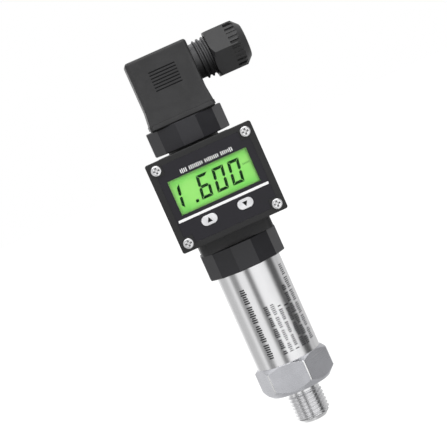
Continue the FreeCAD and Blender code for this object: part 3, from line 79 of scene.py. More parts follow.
def make_camera():
    """The camera that sees the instrument as the photograph does."""
    data = bpy.data.cameras.new("camera")
    data.sensor_fit = "HORIZONTAL"
    data.sensor_width = SENSOR_WIDTH
    data.lens = FOCAL_PIXELS / PICTURE_PIXELS * SENSOR_WIDTH
    data.clip_start = 0.02
    data.clip_end = 20.0
    camera = bpy.data.objects.new("camera", data)
    yaw = Matrix.Rotation(CAMERA_YAW, 4, "Z")
    pitch = Matrix.Rotation(math.pi / 2 + CAMERA_PITCH, 4, "X")
    lean = Matrix.Rotation(CAMERA_LEAN, 4, "Z")
    camera.matrix_world = Matrix.Translation(CAMERA_PLACE) @ yaw @ pitch @ lean
    bpy.context.scene.collection.objects.link(camera)
    bpy.context.scene.camera = camera


# Node trees

def add(tree, kind, inputs=None, **settings):
    """A node with its settings. Its inputs are values or the outputs of other nodes."""
    node = tree.nodes.new(kind)
    for name, value in settings.items():
        setattr(node, name, value)
    for key, value in (inputs or {}).items():
        if isinstance(value, bpy.types.NodeSocket):
            tree.links.new(value, node.inputs[key])
        else:
            node.inputs[key].default_value = value
    return node


def calc(tree, operation, *values):
    """One step of arithmetic."""
    return add(tree, "ShaderNodeMath", dict(enumerate(values)), operation=operation).outputs[0]


def ramp(tree, value, low, high, to_low, to_high, smooth=True):
    """The value carried from one range to another, held at the ends."""
    kind = "SMOOTHSTEP" if smooth else "LINEAR"
    inputs = {"Value": value, "From Min": low, "From Max": high, "To Min": to_low,
              "To Max": to_high}
    return add(tree, "ShaderNodeMapRange", inputs, interpolation_type=kind).outputs[0]


def blend(tree, factor, colour_a, colour_b):
    """A mix of two colours."""
    inputs = {0: factor, 6: colour_a, 7: colour_b}
    return add(tree, "ShaderNodeMix", inputs, data_type="RGBA").outputs[2]


def rgba(colour):
    """A colour for a socket."""
    return (*colour, 1.0)


def grey(level):
    """A grey for a socket."""
    return (level, level, level, 1.0)


def scaled(colour, factor):
    """A colour made brighter or darker."""
    return tuple(min(1.0, channel * factor) for channel in colour)


# Studio

# Dark strips between the pale panels round the instrument: azimuth from the display side
# towards +X, half width and soft edge in degrees, and how dark.
DARK_STRIPS = (
    (-122.0, 12.0, 26.0, 0.38),
    (-69.0, 5.5, 16.0, 0.67),
    (-14.0, 3.0, 12.5, 0.80),
    (75.2, 8.0, 20.5, 0.89),
    (106.0, 4.0, 14.0, 0.32),
    (142.0, 18.0, 26.0, 0.32),
)
# A slightly brighter panel in front, in the same terms, and how much it adds.
FRONT_PANEL = (14.0, 8.0, 22.0, 0.06)
PANEL_LEVEL = 0.98
PANEL_LEVEL_LOW = 0.8 * PANEL_LEVEL
# Heights are the upward part of a direction. The panels fade towards the ground, and the bright
# panel overhead begins and fades between these heights.
GROUND_FADE = (-0.85, -0.2)
OVERHEAD_RISE = (0.62, 0.84)
OVERHEAD_GAIN = 1.7
ZENITH_FADE = (0.92, 0.985, 1.0, 0.22)
# Its share by the angle from the display side: strong ahead, weak aside and strong behind.
OVERHEAD_AHEAD = (45.0, 85.0, 1.0, 0.3)
OVERHEAD_BEHIND = (140.0, 165.0, 0.0, 0.9)
# The plain light from all round, from below to above.
AROUND_LIGHT = (-0.6, 0.6, 0.2, 0.85)
# Soft lamps: azimuth, elevation, distance, size and power.
LAMPS = {
    "key_lamp": (20.0, 32.0, 1.1, 0.7, 6.2),
    "fill_lamp": (-55.0, 22.0, 1.2, 0.8, 2.2),
    "top_lamp": (10.0, 84.0, 1.1, 0.8, 2.2),
}
FLOOR_UNDER_TIP = 0.05
FLOOR_REACH = 3.0
FLOOR_GLOW = 1.16
FLOOR_GLOW_SHARE = 0.8


def angle_from(tree, azimuth, centre):
    """How far a direction lies from a centre, in degrees."""
    return calc(tree, "ABSOLUTE", calc(tree, "SUBTRACT", azimuth, centre))


def reflected_panels(tree, azimuth, z):
    """What the instrument reflects: pale panels, dark strips and a bright panel overhead."""
    panels = ramp(tree, z, *GROUND_FADE, PANEL_LEVEL_LOW, PANEL_LEVEL)
    for centre, half, soft, depth in DARK_STRIPS:
        away = angle_from(tree, azimuth, centre)
        shade = ramp(tree, away, half, half + soft, 1.0 - depth, 1.0)
        panels = calc(tree, "MULTIPLY", panels, shade)
    centre, half, soft, gain = FRONT_PANEL
    away = angle_from(tree, azimuth, centre)
    panels = calc(tree, "ADD", panels, ramp(tree, away, half, half + soft, gain, 0.0))
    risen = ramp(tree, z, *OVERHEAD_RISE, 0.0, OVERHEAD_GAIN)
    aside = calc(tree, "ABSOLUTE", azimuth)
    share = calc(tree, "MAXIMUM", ramp(tree, aside, *OVERHEAD_AHEAD),
                 ramp(tree, aside, *OVERHEAD_BEHIND))
    panels = calc(tree, "ADD", panels, calc(tree, "MULTIPLY", risen, share))
    return calc(tree, "MULTIPLY", panels, ramp(tree, z, *ZENITH_FADE))


def make_studio():
    """Pale panels all round with soft dark strips between, and a white background."""
    world = bpy.data.worlds.new("studio")
    world.use_nodes = True
    bpy.context.scene.world = world
    tree = world.node_tree
    tree.nodes.clear()
    direction = add(tree, "ShaderNodeTexCoord").outputs["Generated"]
    x, y, z = add(tree, "ShaderNodeSeparateXYZ", {0: direction}).outputs
    turned = calc(tree, "ARCTAN2", x, calc(tree, "MULTIPLY", y, -1.0))
    azimuth = calc(tree, "DEGREES", turned)
    panels = reflected_panels(tree, azimuth, z)
    path = add(tree, "ShaderNodeLightPath").outputs
    glossy = calc(tree, "MULTIPLY", path["Is Glossy Ray"], panels)
    around = ramp(tree, z, *AROUND_LIGHT)
    plain = calc(tree, "MULTIPLY", calc(tree, "SUBTRACT", 1.0, path["Is Glossy Ray"]), around)
    seen = calc(tree, "MAXIMUM", path["Is Camera Ray"], path["Is Transmission Ray"])
    strength = calc(tree, "MAXIMUM", calc(tree, "ADD", glossy, plain), seen)
    background = add(tree, "ShaderNodeBackground", {"Color": grey(1.0), "Strength": strength})
    output = add(tree, "ShaderNodeOutputWorld")
    tree.links.new(background.outputs[0], output.inputs[0])


def soft_lamp(name, azimuth, elevation, distance, size, power):
    """A square soft lamp that faces the middle of the instrument."""
    data = bpy.data.lights.new(name, "AREA")
    data.shape = "SQUARE"
    data.size = size
    data.energy = power
    lamp = bpy.data.objects.new(name, data)
    around, up = math.radians(azimuth), math.radians(elevation)
    away = Vector((math.sin(around) * math.cos(up), -math.cos(around) * math.cos(up),
                   math.sin(up)))
    middle = (cad_low + cad_high) / 2
    turn = away.to_track_quat("Z", "Y").to_matrix().to_4x4()
    lamp.matrix_world = Matrix.Translation(middle + away * distance) @ turn
    lamp.visible_glossy = False
    bpy.context.scene.collection.objects.link(lamp)


def make_floor():
    """A pale floor under the tip. It looks white and keeps the instrument's shadow."""
    level = cad_low.z - FLOOR_UNDER_TIP * MM
    mesh = bpy.data.meshes.new("floor")
    corners = [(x * FLOOR_REACH, y * FLOOR_REACH, level)
               for x, y in ((-1, -1), (1, -1), (1, 1), (-1, 1))]
    mesh.from_pydata(corners, [], [(0, 1, 2, 3)])
    floor = bpy.data.objects.new("floor", mesh)
    bpy.context.scene.collection.objects.link(floor)
    material = bpy.data.materials.new("pale_floor")
    material.use_nodes = True
    tree = material.node_tree
    shader = tree.nodes["Principled BSDF"]
    shader.inputs["Base Color"].default_value = grey(0.9)
    shader.inputs["Roughness"].default_value = 0.9
    path = add(tree, "ShaderNodeLightPath").outputs
    glow = add(tree, "ShaderNodeEmission", {"Color": grey(1.0), "Strength": FLOOR_GLOW})
    share = calc(tree, "MULTIPLY", path["Is Camera Ray"], FLOOR_GLOW_SHARE)
    mixed = add(tree, "ShaderNodeMixShader", {0: share, 1: shader.outputs[0], 2: glow.outputs[0]})
    tree.links.new(mixed.outputs[0], tree.nodes["Material Output"].inputs[0])
    mesh.materials.append(material)
    floor.visible_glossy = False
    floor.visible_diffuse = False


# Finishes

BLACK = (0.021, 0.021, 0.0218)
# The hexagon over its flats, and how far its corners lie from the axis.
HEXAGON_FLATS = 27.0
HEXAGON_CORNER = HEXAGON_FLATS / math.sqrt(3.0)
# The gland neck in the plug's finish, painted paler as painted light: where it starts along X, the
# height it lies above, and the heights between which the painted shade on its underside fades.
NECK_FROM = 12.9
NECK_ABOVE = 124.5
NECK_PAINTED_SHADE = (127.5, 138.5)


def new_finish(name, **sockets):
    """A material with constant values on its shader's sockets, its tree and its shader."""
    material = bpy.data.materials.new(name)
    material.use_nodes = True
    tree = material.node_tree
    shader = tree.nodes["Principled BSDF"]
    for key, value in sockets.items():
        shader.inputs[key.replace("_", " ")].default_value = value
    return material, tree, shader


def object_place(tree, scale=(1.0, 1.0, 1.0)):
    """Object coordinates in metres, stretched by a scale."""
    place = add(tree, "ShaderNodeTexCoord").outputs["Object"]
    return add(tree, "ShaderNodeMapping", {"Vector": place, "Scale": scale}).outputs[0]


def noise(tree, place, scale, detail=2.0, roughness=0.5):
    """A noise from 0 to 1."""
    inputs = {"Vector": place, "Scale": scale, "Detail": detail, "Roughness": roughness}
    return add(tree, "ShaderNodeTexNoise", inputs).outputs["Fac"]


def soft_edges(tree, radius):
    """The surface's direction with its edges rounded, and a mask of those edges."""
    bent = add(tree, "ShaderNodeBevel", {"Radius": radius}, samples=4).outputs[0]
    flat = add(tree, "ShaderNodeNewGeometry").outputs["Normal"]
    alike = add(tree, "ShaderNodeVectorMath", {0: bent, 1: flat}, operation="DOT_PRODUCT")
    mask = ramp(tree, alike.outputs["Value"], 0.80, 0.995, 1.0, 0.0)
    return bent, mask


def sheltered(tree, distance):
    """How open the surface is: 0 deep in a recess, 1 on the outside."""
    return add(tree, "ShaderNodeAmbientOcclusion", {"Distance": distance}, samples=8).outputs["AO"]


def clouded(tree, clouds, dark, light):
    """Two tones in soft clouds."""
    return blend(tree, ramp(tree, clouds, 0.3, 0.7, 0.0, 1.0), dark, light)


def varied(tree, middle, *noises):
    """A value that noises, each with its share, move to both sides of its middle."""
    value = middle - sum(share for _, share in noises) / 2
    for field, share in noises:
        value = calc(tree, "MULTIPLY_ADD", field, share, value)
    return value


def feed(tree, shader, **sockets):
    """Outputs linked to the shader's sockets, with _ for a space in their names."""
    for key, value in sockets.items():
        tree.links.new(value, shader.inputs[key.replace("_", " ")])


def relief(tree, height, distance, strength=1.0, **more):
    """The surface's direction with a relief, its distance in millimetres."""
    inputs = {"Height": height, "Distance": distance * MM, "Strength": strength, **more}
    return add(tree, "ShaderNodeBump", inputs).outputs[0]


def neck_masks(tree, place):
    """Masks of the gland neck and of the painted shade on its underside."""
    low, high = NECK_PAINTED_SHADE
    along, _, height = add(tree, "ShaderNodeSeparateXYZ", {0: place}).outputs
    on_neck = calc(tree, "MULTIPLY",
                   ramp(tree, along, NECK_FROM * MM, (NECK_FROM + 0.05) * MM, 0.0, 1.0),
                   ramp(tree, height, (NECK_ABOVE - 0.5) * MM, NECK_ABOVE * MM, 0.0, 1.0))
    # Painted shade, darkest on the neck's underside and fading upwards.
    under = ramp(tree, height, low * MM, high * MM, 0.95, 0.0)
    return on_neck, calc(tree, "MULTIPLY", on_neck, under)


def hexagon_masks(tree, place):
    """Masks of the painted highlight on the hexagon's six corners, and of all that lies below its
    shoulder.
    """
    x, y, z = add(tree, "ShaderNodeSeparateXYZ", {0: place}).outputs
    reach = calc(tree, "SQRT", calc(tree, "ADD", calc(tree, "MULTIPLY", x, x),
                                    calc(tree, "MULTIPLY", y, y)))
    # A painted highlight along each of the six corners.
    corner = ramp(tree, reach, (HEXAGON_CORNER - 0.26) * MM, (HEXAGON_CORNER - 0.14) * MM,
                  0.0, 1.0)
    return corner, ramp(tree, z, -0.3 * MM, 0.3 * MM, 1.0, 0.0)


def moulded(name, colour, roughness, grain=0.012, grain_size=0.35, edge=0.12, wear=0.5,
            specular=0.5, painted_recess_shade=0.0, neck=None):
    """Moulded plastic or rubber: fine grain, faint clouds in its tone and paler worn edges.

    With a colour for the neck, the gland neck has that paler colour as painted light, and painted
    shade on its underside.
    """
    material, tree, shader = new_finish(name, Specular_IOR_Level=specular)
    place = object_place(tree)
    clouds = noise(tree, place, 140.0, 4.0, 0.6)
    fine = noise(tree, place, 1000.0 / grain_size, 2.0, 0.6)
    scuffs = noise(tree, object_place(tree, (1.0, 1.0, 0.25)), 420.0, 5.0, 0.7)
    normal, edges = soft_edges(tree, edge * MM)
    dark, light = rgba(scaled(colour, 0.86)), rgba(scaled(colour, 1.16))
    # The neck's paler tone is painted light from above.
    if neck:
        on_neck, under = neck_masks(tree, place)
        dark = blend(tree, on_neck, dark, rgba(scaled(neck, 0.86)))
        light = blend(tree, on_neck, light, rgba(scaled(neck, 1.16)))
    tone = clouded(tree, clouds, dark, light)
    worn = calc(tree, "MULTIPLY", edges, ramp(tree, scuffs, 0.42, 0.62, 0.0, wear))
    pale = tuple(channel * 0.7 + 0.12 for channel in colour)
    tone = blend(tree, worn, tone, rgba(pale))
    uneven = varied(tree, roughness, (fine, 0.10), (clouds, 0.10))
    # Painted shade: hollows are painted darker the more sheltered they are.
    if painted_recess_shade:
        painted_shade = ramp(tree, sheltered(tree, 1.0 * MM), 0.55, 0.92, painted_recess_shade, 0.0)
        # On the neck less painted shade goes into the hollows, and painted shade covers its
        # underside.
        if neck:
            painted_shade = calc(tree, "MULTIPLY", painted_shade, ramp(tree, on_neck, 0.0, 1.0, 1.0, 0.3))
            painted_shade = calc(tree, "MAXIMUM", painted_shade, under)
        tone = blend(tree, painted_shade, tone, grey(0.003))
        uneven = calc(tree, "MAXIMUM", uneven, painted_shade)
    feed(tree, shader, Base_Color=tone, Roughness=uneven,
         Normal=relief(tree, fine, grain, Normal=normal))
    return material


def metal(name, colour, roughness, lines=(60.0, 60.0, 4200.0), depth=0.0006, edge=0.1,
          stain=0.06, painted_recess_shade=0.0, rim=0.0, below=None):
    """Machined or drawn metal: fine tool lines, faint stains and bright broken edges.

    With a colour for what lies below the shoulder, the metal above it is the hexagon, whose edges
    are rounded over the rim's width and whose six corners are bright as a painted highlight.
    """
    material, tree, shader = new_finish(name, Metallic=1.0)
    place = object_place(tree)
    clouds = noise(tree, place, 95.0, 4.0, 0.6)
    drawn = noise(tree, object_place(tree, lines), 1.0, 3.0, 0.6)
    width = edge * MM
    if below:
        corner, lower = hexagon_masks(tree, place)
        width = ramp(tree, lower, 0.0, 1.0, rim * MM, edge * MM)
    normal, edges = soft_edges(tree, width)
    tone = clouded(tree, clouds, rgba(scaled(colour, 1.0 - stain)),
                   rgba(scaled(colour, 1.0 + stain / 2)))
    if below:
        tone = blend(tree, lower, tone, rgba(below))
        # The hexagon's corners are a painted highlight, and its other edges brighten less.
        edges = calc(tree, "MAXIMUM", calc(tree, "MULTIPLY", edges, 0.3), corner)
    tone = blend(tree, calc(tree, "MULTIPLY", edges, 0.95 if below else 0.7), tone, grey(0.99))
    # Painted shade: hollows are painted darker the more sheltered they are.
    if painted_recess_shade:
        painted_shade = ramp(tree, sheltered(tree, 0.8 * MM), 0.35, 0.9, painted_recess_shade, 0.0)
        tone = blend(tree, painted_shade, tone, grey(0.03))
    uneven = varied(tree, roughness, (drawn, 0.08), (clouds, 0.06))
    if below:
        uneven = calc(tree, "MULTIPLY", uneven, ramp(tree, edges, 0.0, 1.0, 1.0, 0.6))
        uneven = calc(tree, "MULTIPLY", uneven, ramp(tree, lower, 0.0, 1.0, 1.0, 0.78))
    feed(tree, shader, Base_Color=tone, Roughness=uneven,
         Normal=relief(tree, drawn, depth, Normal=normal))
    return material


def ink(name, colour, roughness=0.45, specular=0.5):
    """Printing ink with a slightly uneven coat."""
    material, tree, shader = new_finish(name, Specular_IOR_Level=specular)
    coat = noise(tree, object_place(tree), 1800.0, 3.0, 0.6)
    tone = blend(tree, coat, rgba(scaled(colour, 0.94)), rgba(scaled(colour, 1.04)))
    uneven = ramp(tree, coat, 0.3, 0.7, roughness - 0.08, roughness + 0.08)
    feed(tree, shader, Base_Color=tone, Roughness=uneven,
         Normal=relief(tree, coat, 0.002, strength=0.6))
    return material


def lit_display(name, colour, second):
    """Green display lit from behind, in two tones and a little darker towards its edges."""
    material, tree, shader = new_finish(name, Roughness=0.12, Emission_Strength=0.37)
    low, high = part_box("display_window")
    middle, half = (low + high) / 2, (high - low) / 2
    place = add(tree, "ShaderNodeTexCoord").outputs["Object"]
    x, _, z = add(tree, "ShaderNodeSeparateXYZ", {0: place}).outputs
    across = calc(tree, "DIVIDE", calc(tree, "SUBTRACT", x, middle.x), half.x)
    up = calc(tree, "DIVIDE", calc(tree, "SUBTRACT", z, middle.z), half.z)
    from_middle = calc(tree, "ABSOLUTE", up)
    rim_x = ramp(tree, calc(tree, "ABSOLUTE", across), 0.86, 0.96, 0.0, 1.0)
    rim_z = ramp(tree, from_middle, 0.72, 0.90, 0.0, 1.0)
    rim = calc(tree, "MAXIMUM", rim_x, rim_z)
    grain = noise(tree, place, 2600.0, 2.0, 0.5)
    drift = ramp(tree, noise(tree, place, 130.0, 2.0, 0.5), 0.38, 0.62, 0.0, 1.0)
    deeper = ramp(tree, from_middle, 0.4, 0.78, 0.0, 0.5)
    uneven = calc(tree, "MULTIPLY_ADD", grain, 0.1, calc(tree, "MULTIPLY", drift, 0.3))
    bright = blend(tree, calc(tree, "ADD", deeper, uneven), rgba(colour), rgba(second))
    tone = blend(tree, rim, bright, rgba(scaled(colour, 0.55)))
    feed(tree, shader, Base_Color=tone, Emission_Color=tone,
         Normal=relief(tree, grain, 0.001, strength=0.3))
    return material


def clear(name):
    """Clear pane with faint unevenness."""
    material, tree, shader = new_finish(name, Transmission_Weight=1.0, IOR=1.12)
    ripple = noise(tree, object_place(tree), 90.0, 2.0, 0.5)
    tint = blend(tree, ripple, (0.97, 1.0, 0.97, 1.0), grey(1.0))
    feed(tree, shader, Base_Color=tint, Roughness=ramp(tree, ripple, 0.3, 0.7, 0.0, 0.05))
    return material


def circuit(name):
    """Green board lacquer over copper tracks."""
    material, tree, shader = new_finish(name, Coat_Weight=0.4, Coat_Roughness=0.2)
    place = object_place(tree)
    tracks = add(tree, "ShaderNodeTexBrick",
                 {"Vector": place, "Scale": 420.0, "Mortar Size": 0.12, "Mortar Smooth": 0.1,
                  "Brick Width": 0.9, "Row Height": 0.35}, offset=0.35).outputs["Fac"]
    mottle = noise(tree, place, 600.0, 3.0, 0.6)
    lacquer = blend(tree, mottle, (0.012, 0.10, 0.035, 1.0), (0.02, 0.15, 0.055, 1.0))
    tone = blend(tree, calc(tree, "MULTIPLY", tracks, 0.6), lacquer, (0.06, 0.26, 0.10, 1.0))
    feed(tree, shader, Base_Color=tone, Roughness=ramp(tree, mottle, 0.3, 0.7, 0.35, 0.5),
         Normal=relief(tree, tracks, 0.03, strength=0.6))
    return material


def make_finishes():
    """One finish for each material slot, and the inks."""
    return {
        # The hexagon's six corners carry a painted highlight.
        "steel": metal("steel", (0.645, 0.65, 0.685), 0.28, depth=0.0012, edge=0.12, stain=0.10,
                       rim=0.5, below=(0.84, 0.84, 0.85)),
        "polished_steel": metal("polished_steel", (0.82, 0.82, 0.83), 0.19, stain=0.03),
        "collar": moulded("collar", (0.0105, 0.0102, 0.0135), 0.32, specular=0.62),
        "housing": moulded("housing", scaled(BLACK, 1.35), 0.48, grain=0.018, grain_size=0.5),
        "front_plate": moulded("front_plate", scaled(BLACK, 0.5), 0.46, grain=0.01, wear=0.3),
        "printed_film": moulded("printed_film", (0.0052, 0.0044, 0.0085), 0.44, grain=0.006,
                                wear=0.1),
        # The plug's hollows get painted shade; its neck is painted paler as painted light, with
        # painted shade underneath.
        "plug": moulded("plug", scaled(BLACK, 1.18), 0.43, grain=0.024, grain_size=0.55,
                        wear=0.1, painted_recess_shade=0.7, neck=scaled(BLACK, 2.9)),
        # The gland nut's hollows get faint painted shade.
        "gland": moulded("gland", scaled(BLACK, 0.95), 0.40, grain=0.02, grain_size=0.5,
                         wear=0.3, painted_recess_shade=0.05),
        "key": moulded("key", (0.76, 0.76, 0.78), 0.32, grain=0.004, edge=0.2, wear=0.0),
        "clear_pane": clear("clear_pane"),
        "display_glass": lit_display("display_glass", (0.20, 0.485, 0.104), (0.10, 0.41, 0.052)),
        "backlight": lit_display("backlight", (0.35, 0.95, 0.2), (0.30, 0.90, 0.17)),
        "inner_moulding": moulded("inner_moulding", (0.03, 0.03, 0.033), 0.5),
        "rubber": moulded("rubber", (0.012, 0.012, 0.012), 0.72, grain=0.02, specular=0.35),
        "circuit_board": circuit("circuit_board"),
        "chip": moulded("chip", (0.02, 0.02, 0.022), 0.55),
        "contact_metal": metal("contact_metal", (0.78, 0.72, 0.56), 0.3),
        # The screws' recesses get strong painted shade.
        "screw_metal": metal("screw_metal", (0.86, 0.86, 0.87), 0.22,
                             lines=(1500.0, 1500.0, 1500.0), depth=0.02, edge=0.15,
                             stain=0.12, painted_recess_shade=0.9),
        "white_print": ink("white_print", (0.96, 0.96, 0.96)),
        "black_print": ink("black_print", (0.006, 0.006, 0.007), specular=0.2),
        "segment_print": ink("segment_print", (0.002, 0.022, 0.003), 0.4, specular=0.1),
        "faint_print": ink("faint_print", (0.03, 0.17, 0.02), 0.4, specular=0.1),
        "tube_print": ink("tube_print", (0.02, 0.02, 0.022)),
    }


# Meshes

# Points closer than this are one. Bends up to FLAT_WITHIN are flat, and bends over SHARP_SKIN or
# SHARP_THREAD stay sharp.
MERGE_WITHIN = 0.0005
FLAT_WITHIN = math.radians(0.1)
SHARP_SKIN = math.radians(25.0)
SHARP_THREAD = math.radians(35.0)
# A radius within this of another counts as the same.
CLOSE = 0.05
# How far prints stand out of what carries them, and how far they reach into it.
PRINT_COAT = 0.02
GLASS_COAT = 0.03
TUBE_COAT = 0.012
PRINT_SUNK = 0.01


def piece(name, mesh, finish, body="transmitter"):
    """A finished piece of the model, riding on a body."""
    made = bpy.data.objects.new(name, mesh)
    bpy.context.scene.collection.objects.link(made)
    mesh.materials.clear()
    mesh.materials.append(finishes[finish])
    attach(made, body)
    return made


def flat_plate(outlines, front, back):
    """Flat shapes with corners (x, z), as thin plates between two distances along Y."""
    shape = bmesh.new()
    for corners in outlines:
        near = [shape.verts.new((x, front, z)) for x, z in corners]
        far = [shape.verts.new((x, back, z)) for x, z in corners]
        shape.faces.new(near)
        shape.faces.new(far[::-1])
        for n in range(len(corners)):
            following = (n + 1) % len(corners)
            shape.faces.new((near[n], far[n], far[following], near[following]))
    bmesh.ops.recalc_face_normals(shape, faces=shape.faces)
    mesh = bpy.data.meshes.new("plate")
    shape.to_mesh(mesh)
    shape.free()
    return mesh


def round_shape(corners, radius, steps=4):
    """The outline with each corner rounded."""
    rounded = []
    count = len(corners)
    for n, (x, z) in enumerate(corners):
        here = Vector((x, z))
        before = (Vector(corners[n - 1]) - here).normalized()
        after = (Vector(corners[(n + 1) % count]) - here).normalized()
        for step in range(steps + 1):
            t = step / steps
            point = here + before * radius * (1 - t) ** 2 + after * radius * t ** 2
            rounded.append(tuple(point))
    return rounded


def merged_copy(node):
    """A node's mesh as one closed skin, to be changed and shown in its place."""
    shape = bmesh.new()
    shape.from_mesh(nodes[node].data)
    bmesh.ops.remove_doubles(shape, verts=shape.verts, dist=MERGE_WITHIN * MM)
    return shape


def face_weighted(mesh):
    """The mesh with smooth rounds and flat flats: large faces set the shading at their edges."""
    mesh.shade_smooth()
    mesh.set_sharp_from_angle(angle=SHARP_SKIN)
    carrier = bpy.data.objects.new("carrier", mesh)
    bpy.context.scene.collection.objects.link(carrier)
    weighted = carrier.modifiers.new("weighted", "WEIGHTED_NORMAL")
    weighted.mode = "FACE_AREA"
    weighted.weight = 100
    weighted.keep_sharp = True
    depsgraph = bpy.context.evaluated_depsgraph_get()
    finished = bpy.data.meshes.new_from_object(carrier.evaluated_get(depsgraph))
    bpy.data.objects.remove(carrier)
    return finished


def dressed_skin(shape, name):
    """The changed skin as a mesh: each flat in few faces, and smooth rounds."""
    bmesh.ops.dissolve_limit(shape, angle_limit=FLAT_WITHIN, verts=shape.verts,
                             edges=shape.edges)
    mesh = bpy.data.meshes.new(name)
    shape.to_mesh(mesh)
    shape.free()
    return face_weighted(mesh)


def outward(mesh):
    """Smooth flanks with sharp crests, and every face turned away from the axis."""
    shape = bmesh.new()
    shape.from_mesh(mesh)
    shape.normal_update()
    inward = sum(1 for face in shape.faces
                 if face.normal.dot(Vector((*face.calc_center_median().xy, 0))) < 0)
    if inward > len(shape.faces) / 2:
        bmesh.ops.reverse_faces(shape, faces=shape.faces)
    shape.to_mesh(mesh)
    shape.free()
    mesh.shade_smooth()
    mesh.set_sharp_from_angle(angle=SHARP_THREAD)


# Geometry node trees

FLOAT, WHOLE, STUFF = "NodeSocketFloat", "NodeSocketInt", "NodeSocketMaterial"
# The grid of a thread: rows across one turn, steps round it, and how close its turns are joined.
THREAD_ROWS = 25
AROUND = 96
JOIN_WITHIN = 0.002
# Past its high end a thread folds inwards by a share of the way, and stays below the end by a
# share of what is sunk.
HIGH_FOLD = 0.8
LID_SHARE = 0.25


def new_tree(name, sizes):
    """A tree with named inputs, and its group input."""
    tree = bpy.data.node_groups.new(name, "GeometryNodeTree")
    for label, kind, value in sizes:
        socket = tree.interface.new_socket(label, in_out="INPUT", socket_type=kind)
        if value is not None:
            socket.default_value = value
    tree.interface.new_socket("Geometry", in_out="OUTPUT", socket_type="NodeSocketGeometry")
    return tree, add(tree, "NodeGroupInput").outputs


def close_tree(tree, geometry, material):
    """Ends a tree: instances made real and the material set."""
    real = add(tree, "GeometryNodeRealizeInstances", {0: geometry}).outputs[0]
    done = add(tree, "GeometryNodeSetMaterial", {"Geometry": real, "Material": material})
    output = add(tree, "NodeGroupOutput")
    tree.links.new(done.outputs[0], output.inputs[0])


def grown_mesh(tree, values):
    """The mesh that a tree makes with these values for its inputs."""
    carrier = bpy.data.objects.new("carrier", bpy.data.meshes.new("carrier"))
    bpy.context.scene.collection.objects.link(carrier)
    modifier = carrier.modifiers.new("tree", "NODES")
    modifier.node_group = tree
    for item in tree.interface.items_tree:
        if item.in_out == "INPUT" and item.name in values:
            modifier[item.identifier] = values[item.name]
    depsgraph = bpy.context.evaluated_depsgraph_get()
    mesh = bpy.data.meshes.new_from_object(carrier.evaluated_get(depsgraph))
    carrier.modifiers.remove(modifier)
    bpy.data.objects.remove(carrier)
    return mesh


def thread_tree():
    """A screw thread up Z: a grid wound round the axis and merged into one skin.

    Its ends run out to the root and fold inwards, so that nothing stands past the high end.
    """
    tree, given = new_tree("helical_thread", (
        ("Pitch", FLOAT, 1.5 * MM), ("Turns", FLOAT, 8.0), ("Steps", WHOLE, 512),
        ("Root Radius", FLOAT, 6.1 * MM), ("Crest Radius", FLOAT, 7.0 * MM),
        ("Crest Share", FLOAT, 0.125), ("Root Share", FLOAT, 0.125),
        ("Start", FLOAT, 0.0), ("Low End", FLOAT, 0.0), ("High End", FLOAT, 10.0 * MM),
        ("Run Out", FLOAT, 0.9 * MM), ("Sunk", FLOAT, 0.08 * MM), ("Material", STUFF, None)))
    grid = add(tree, "GeometryNodeMeshGrid",
               {"Size X": 1.0, "Size Y": 1.0, "Vertices X": given["Steps"],
                "Vertices Y": THREAD_ROWS})
    place = add(tree, "GeometryNodeInputPosition").outputs[0]
    along, across, _ = add(tree, "ShaderNodeSeparateXYZ", {0: place}).outputs
    wound = calc(tree, "MULTIPLY", calc(tree, "ADD", along, 0.5), given["Turns"])
    angle = calc(tree, "MULTIPLY", wound, math.tau)
    risen = calc(tree, "MULTIPLY", calc(tree, "ADD", wound, across), given["Pitch"])
    height = calc(tree, "ADD", risen, given["Start"])
    away = calc(tree, "ABSOLUTE", across)
    crest_edge = calc(tree, "MULTIPLY", given["Crest Share"], 0.5)
    root_edge = calc(tree, "SUBTRACT", 0.5, calc(tree, "MULTIPLY", given["Root Share"], 0.5))
    tooth = ramp(tree, away, crest_edge, root_edge, given["Crest Radius"], given["Root Radius"],
                 smooth=False)
    past_low = calc(tree, "SUBTRACT", height, given["Low End"])
    before_high = calc(tree, "SUBTRACT", given["High End"], height)
    ends = calc(tree, "MINIMUM", past_low, before_high)
    full = ramp(tree, ends, 0.0, given["Run Out"], 0.0, 1.0, smooth=False)
    inside = calc(tree, "SUBTRACT", given["Root Radius"], given["Sunk"])
    grown = calc(tree, "MULTIPLY", calc(tree, "SUBTRACT", tooth, inside), full)
    cut_low = calc(tree, "MINIMUM", past_low, 0.0)
    cut_high = calc(tree, "MULTIPLY", calc(tree, "MINIMUM", before_high, 0.0), HIGH_FOLD)
    cut_back = calc(tree, "ADD", cut_low, cut_high)
    radius = calc(tree, "ADD", calc(tree, "ADD", inside, grown), cut_back)
    lid = calc(tree, "SUBTRACT", given["High End"],
               calc(tree, "MULTIPLY", given["Sunk"], LID_SHARE))
    kept_height = calc(tree, "MINIMUM", height, lid)
    x = calc(tree, "MULTIPLY", radius, calc(tree, "COSINE", angle))
    y = calc(tree, "MULTIPLY", radius, calc(tree, "SINE", angle))
    target = add(tree, "ShaderNodeCombineXYZ", {0: x, 1: y, 2: kept_height}).outputs[0]
    placed = add(tree, "GeometryNodeSetPosition",
                 {"Geometry": grid.outputs["Mesh"], "Position": target}).outputs[0]
    joined = add(tree, "GeometryNodeMergeByDistance",
                 {"Geometry": placed, "Distance": JOIN_WITHIN * MM}).outputs[0]
    close_tree(tree, joined, given["Material"])
    return tree


def wound_thread(pitch, root, crest, start, low_end, high_end, finish, **shares):
    """A thread up Z, its sizes in millimetres, and shares of its pitch for crest and root."""
    turns = (high_end - start) / pitch
    values = {"Pitch": pitch * MM, "Turns": turns, "Steps": int(turns * AROUND) + 1,
              "Root Radius": root * MM, "Crest Radius": crest * MM, "Start": start * MM,
              "Low End": low_end * MM, "High End": high_end * MM,
              "Material": finishes[finish]}
    for name, share in shares.items():
        values[name.replace("_", " ")] = share
    thread = grown_mesh(thread_form, values)
    outward(thread)
    return thread


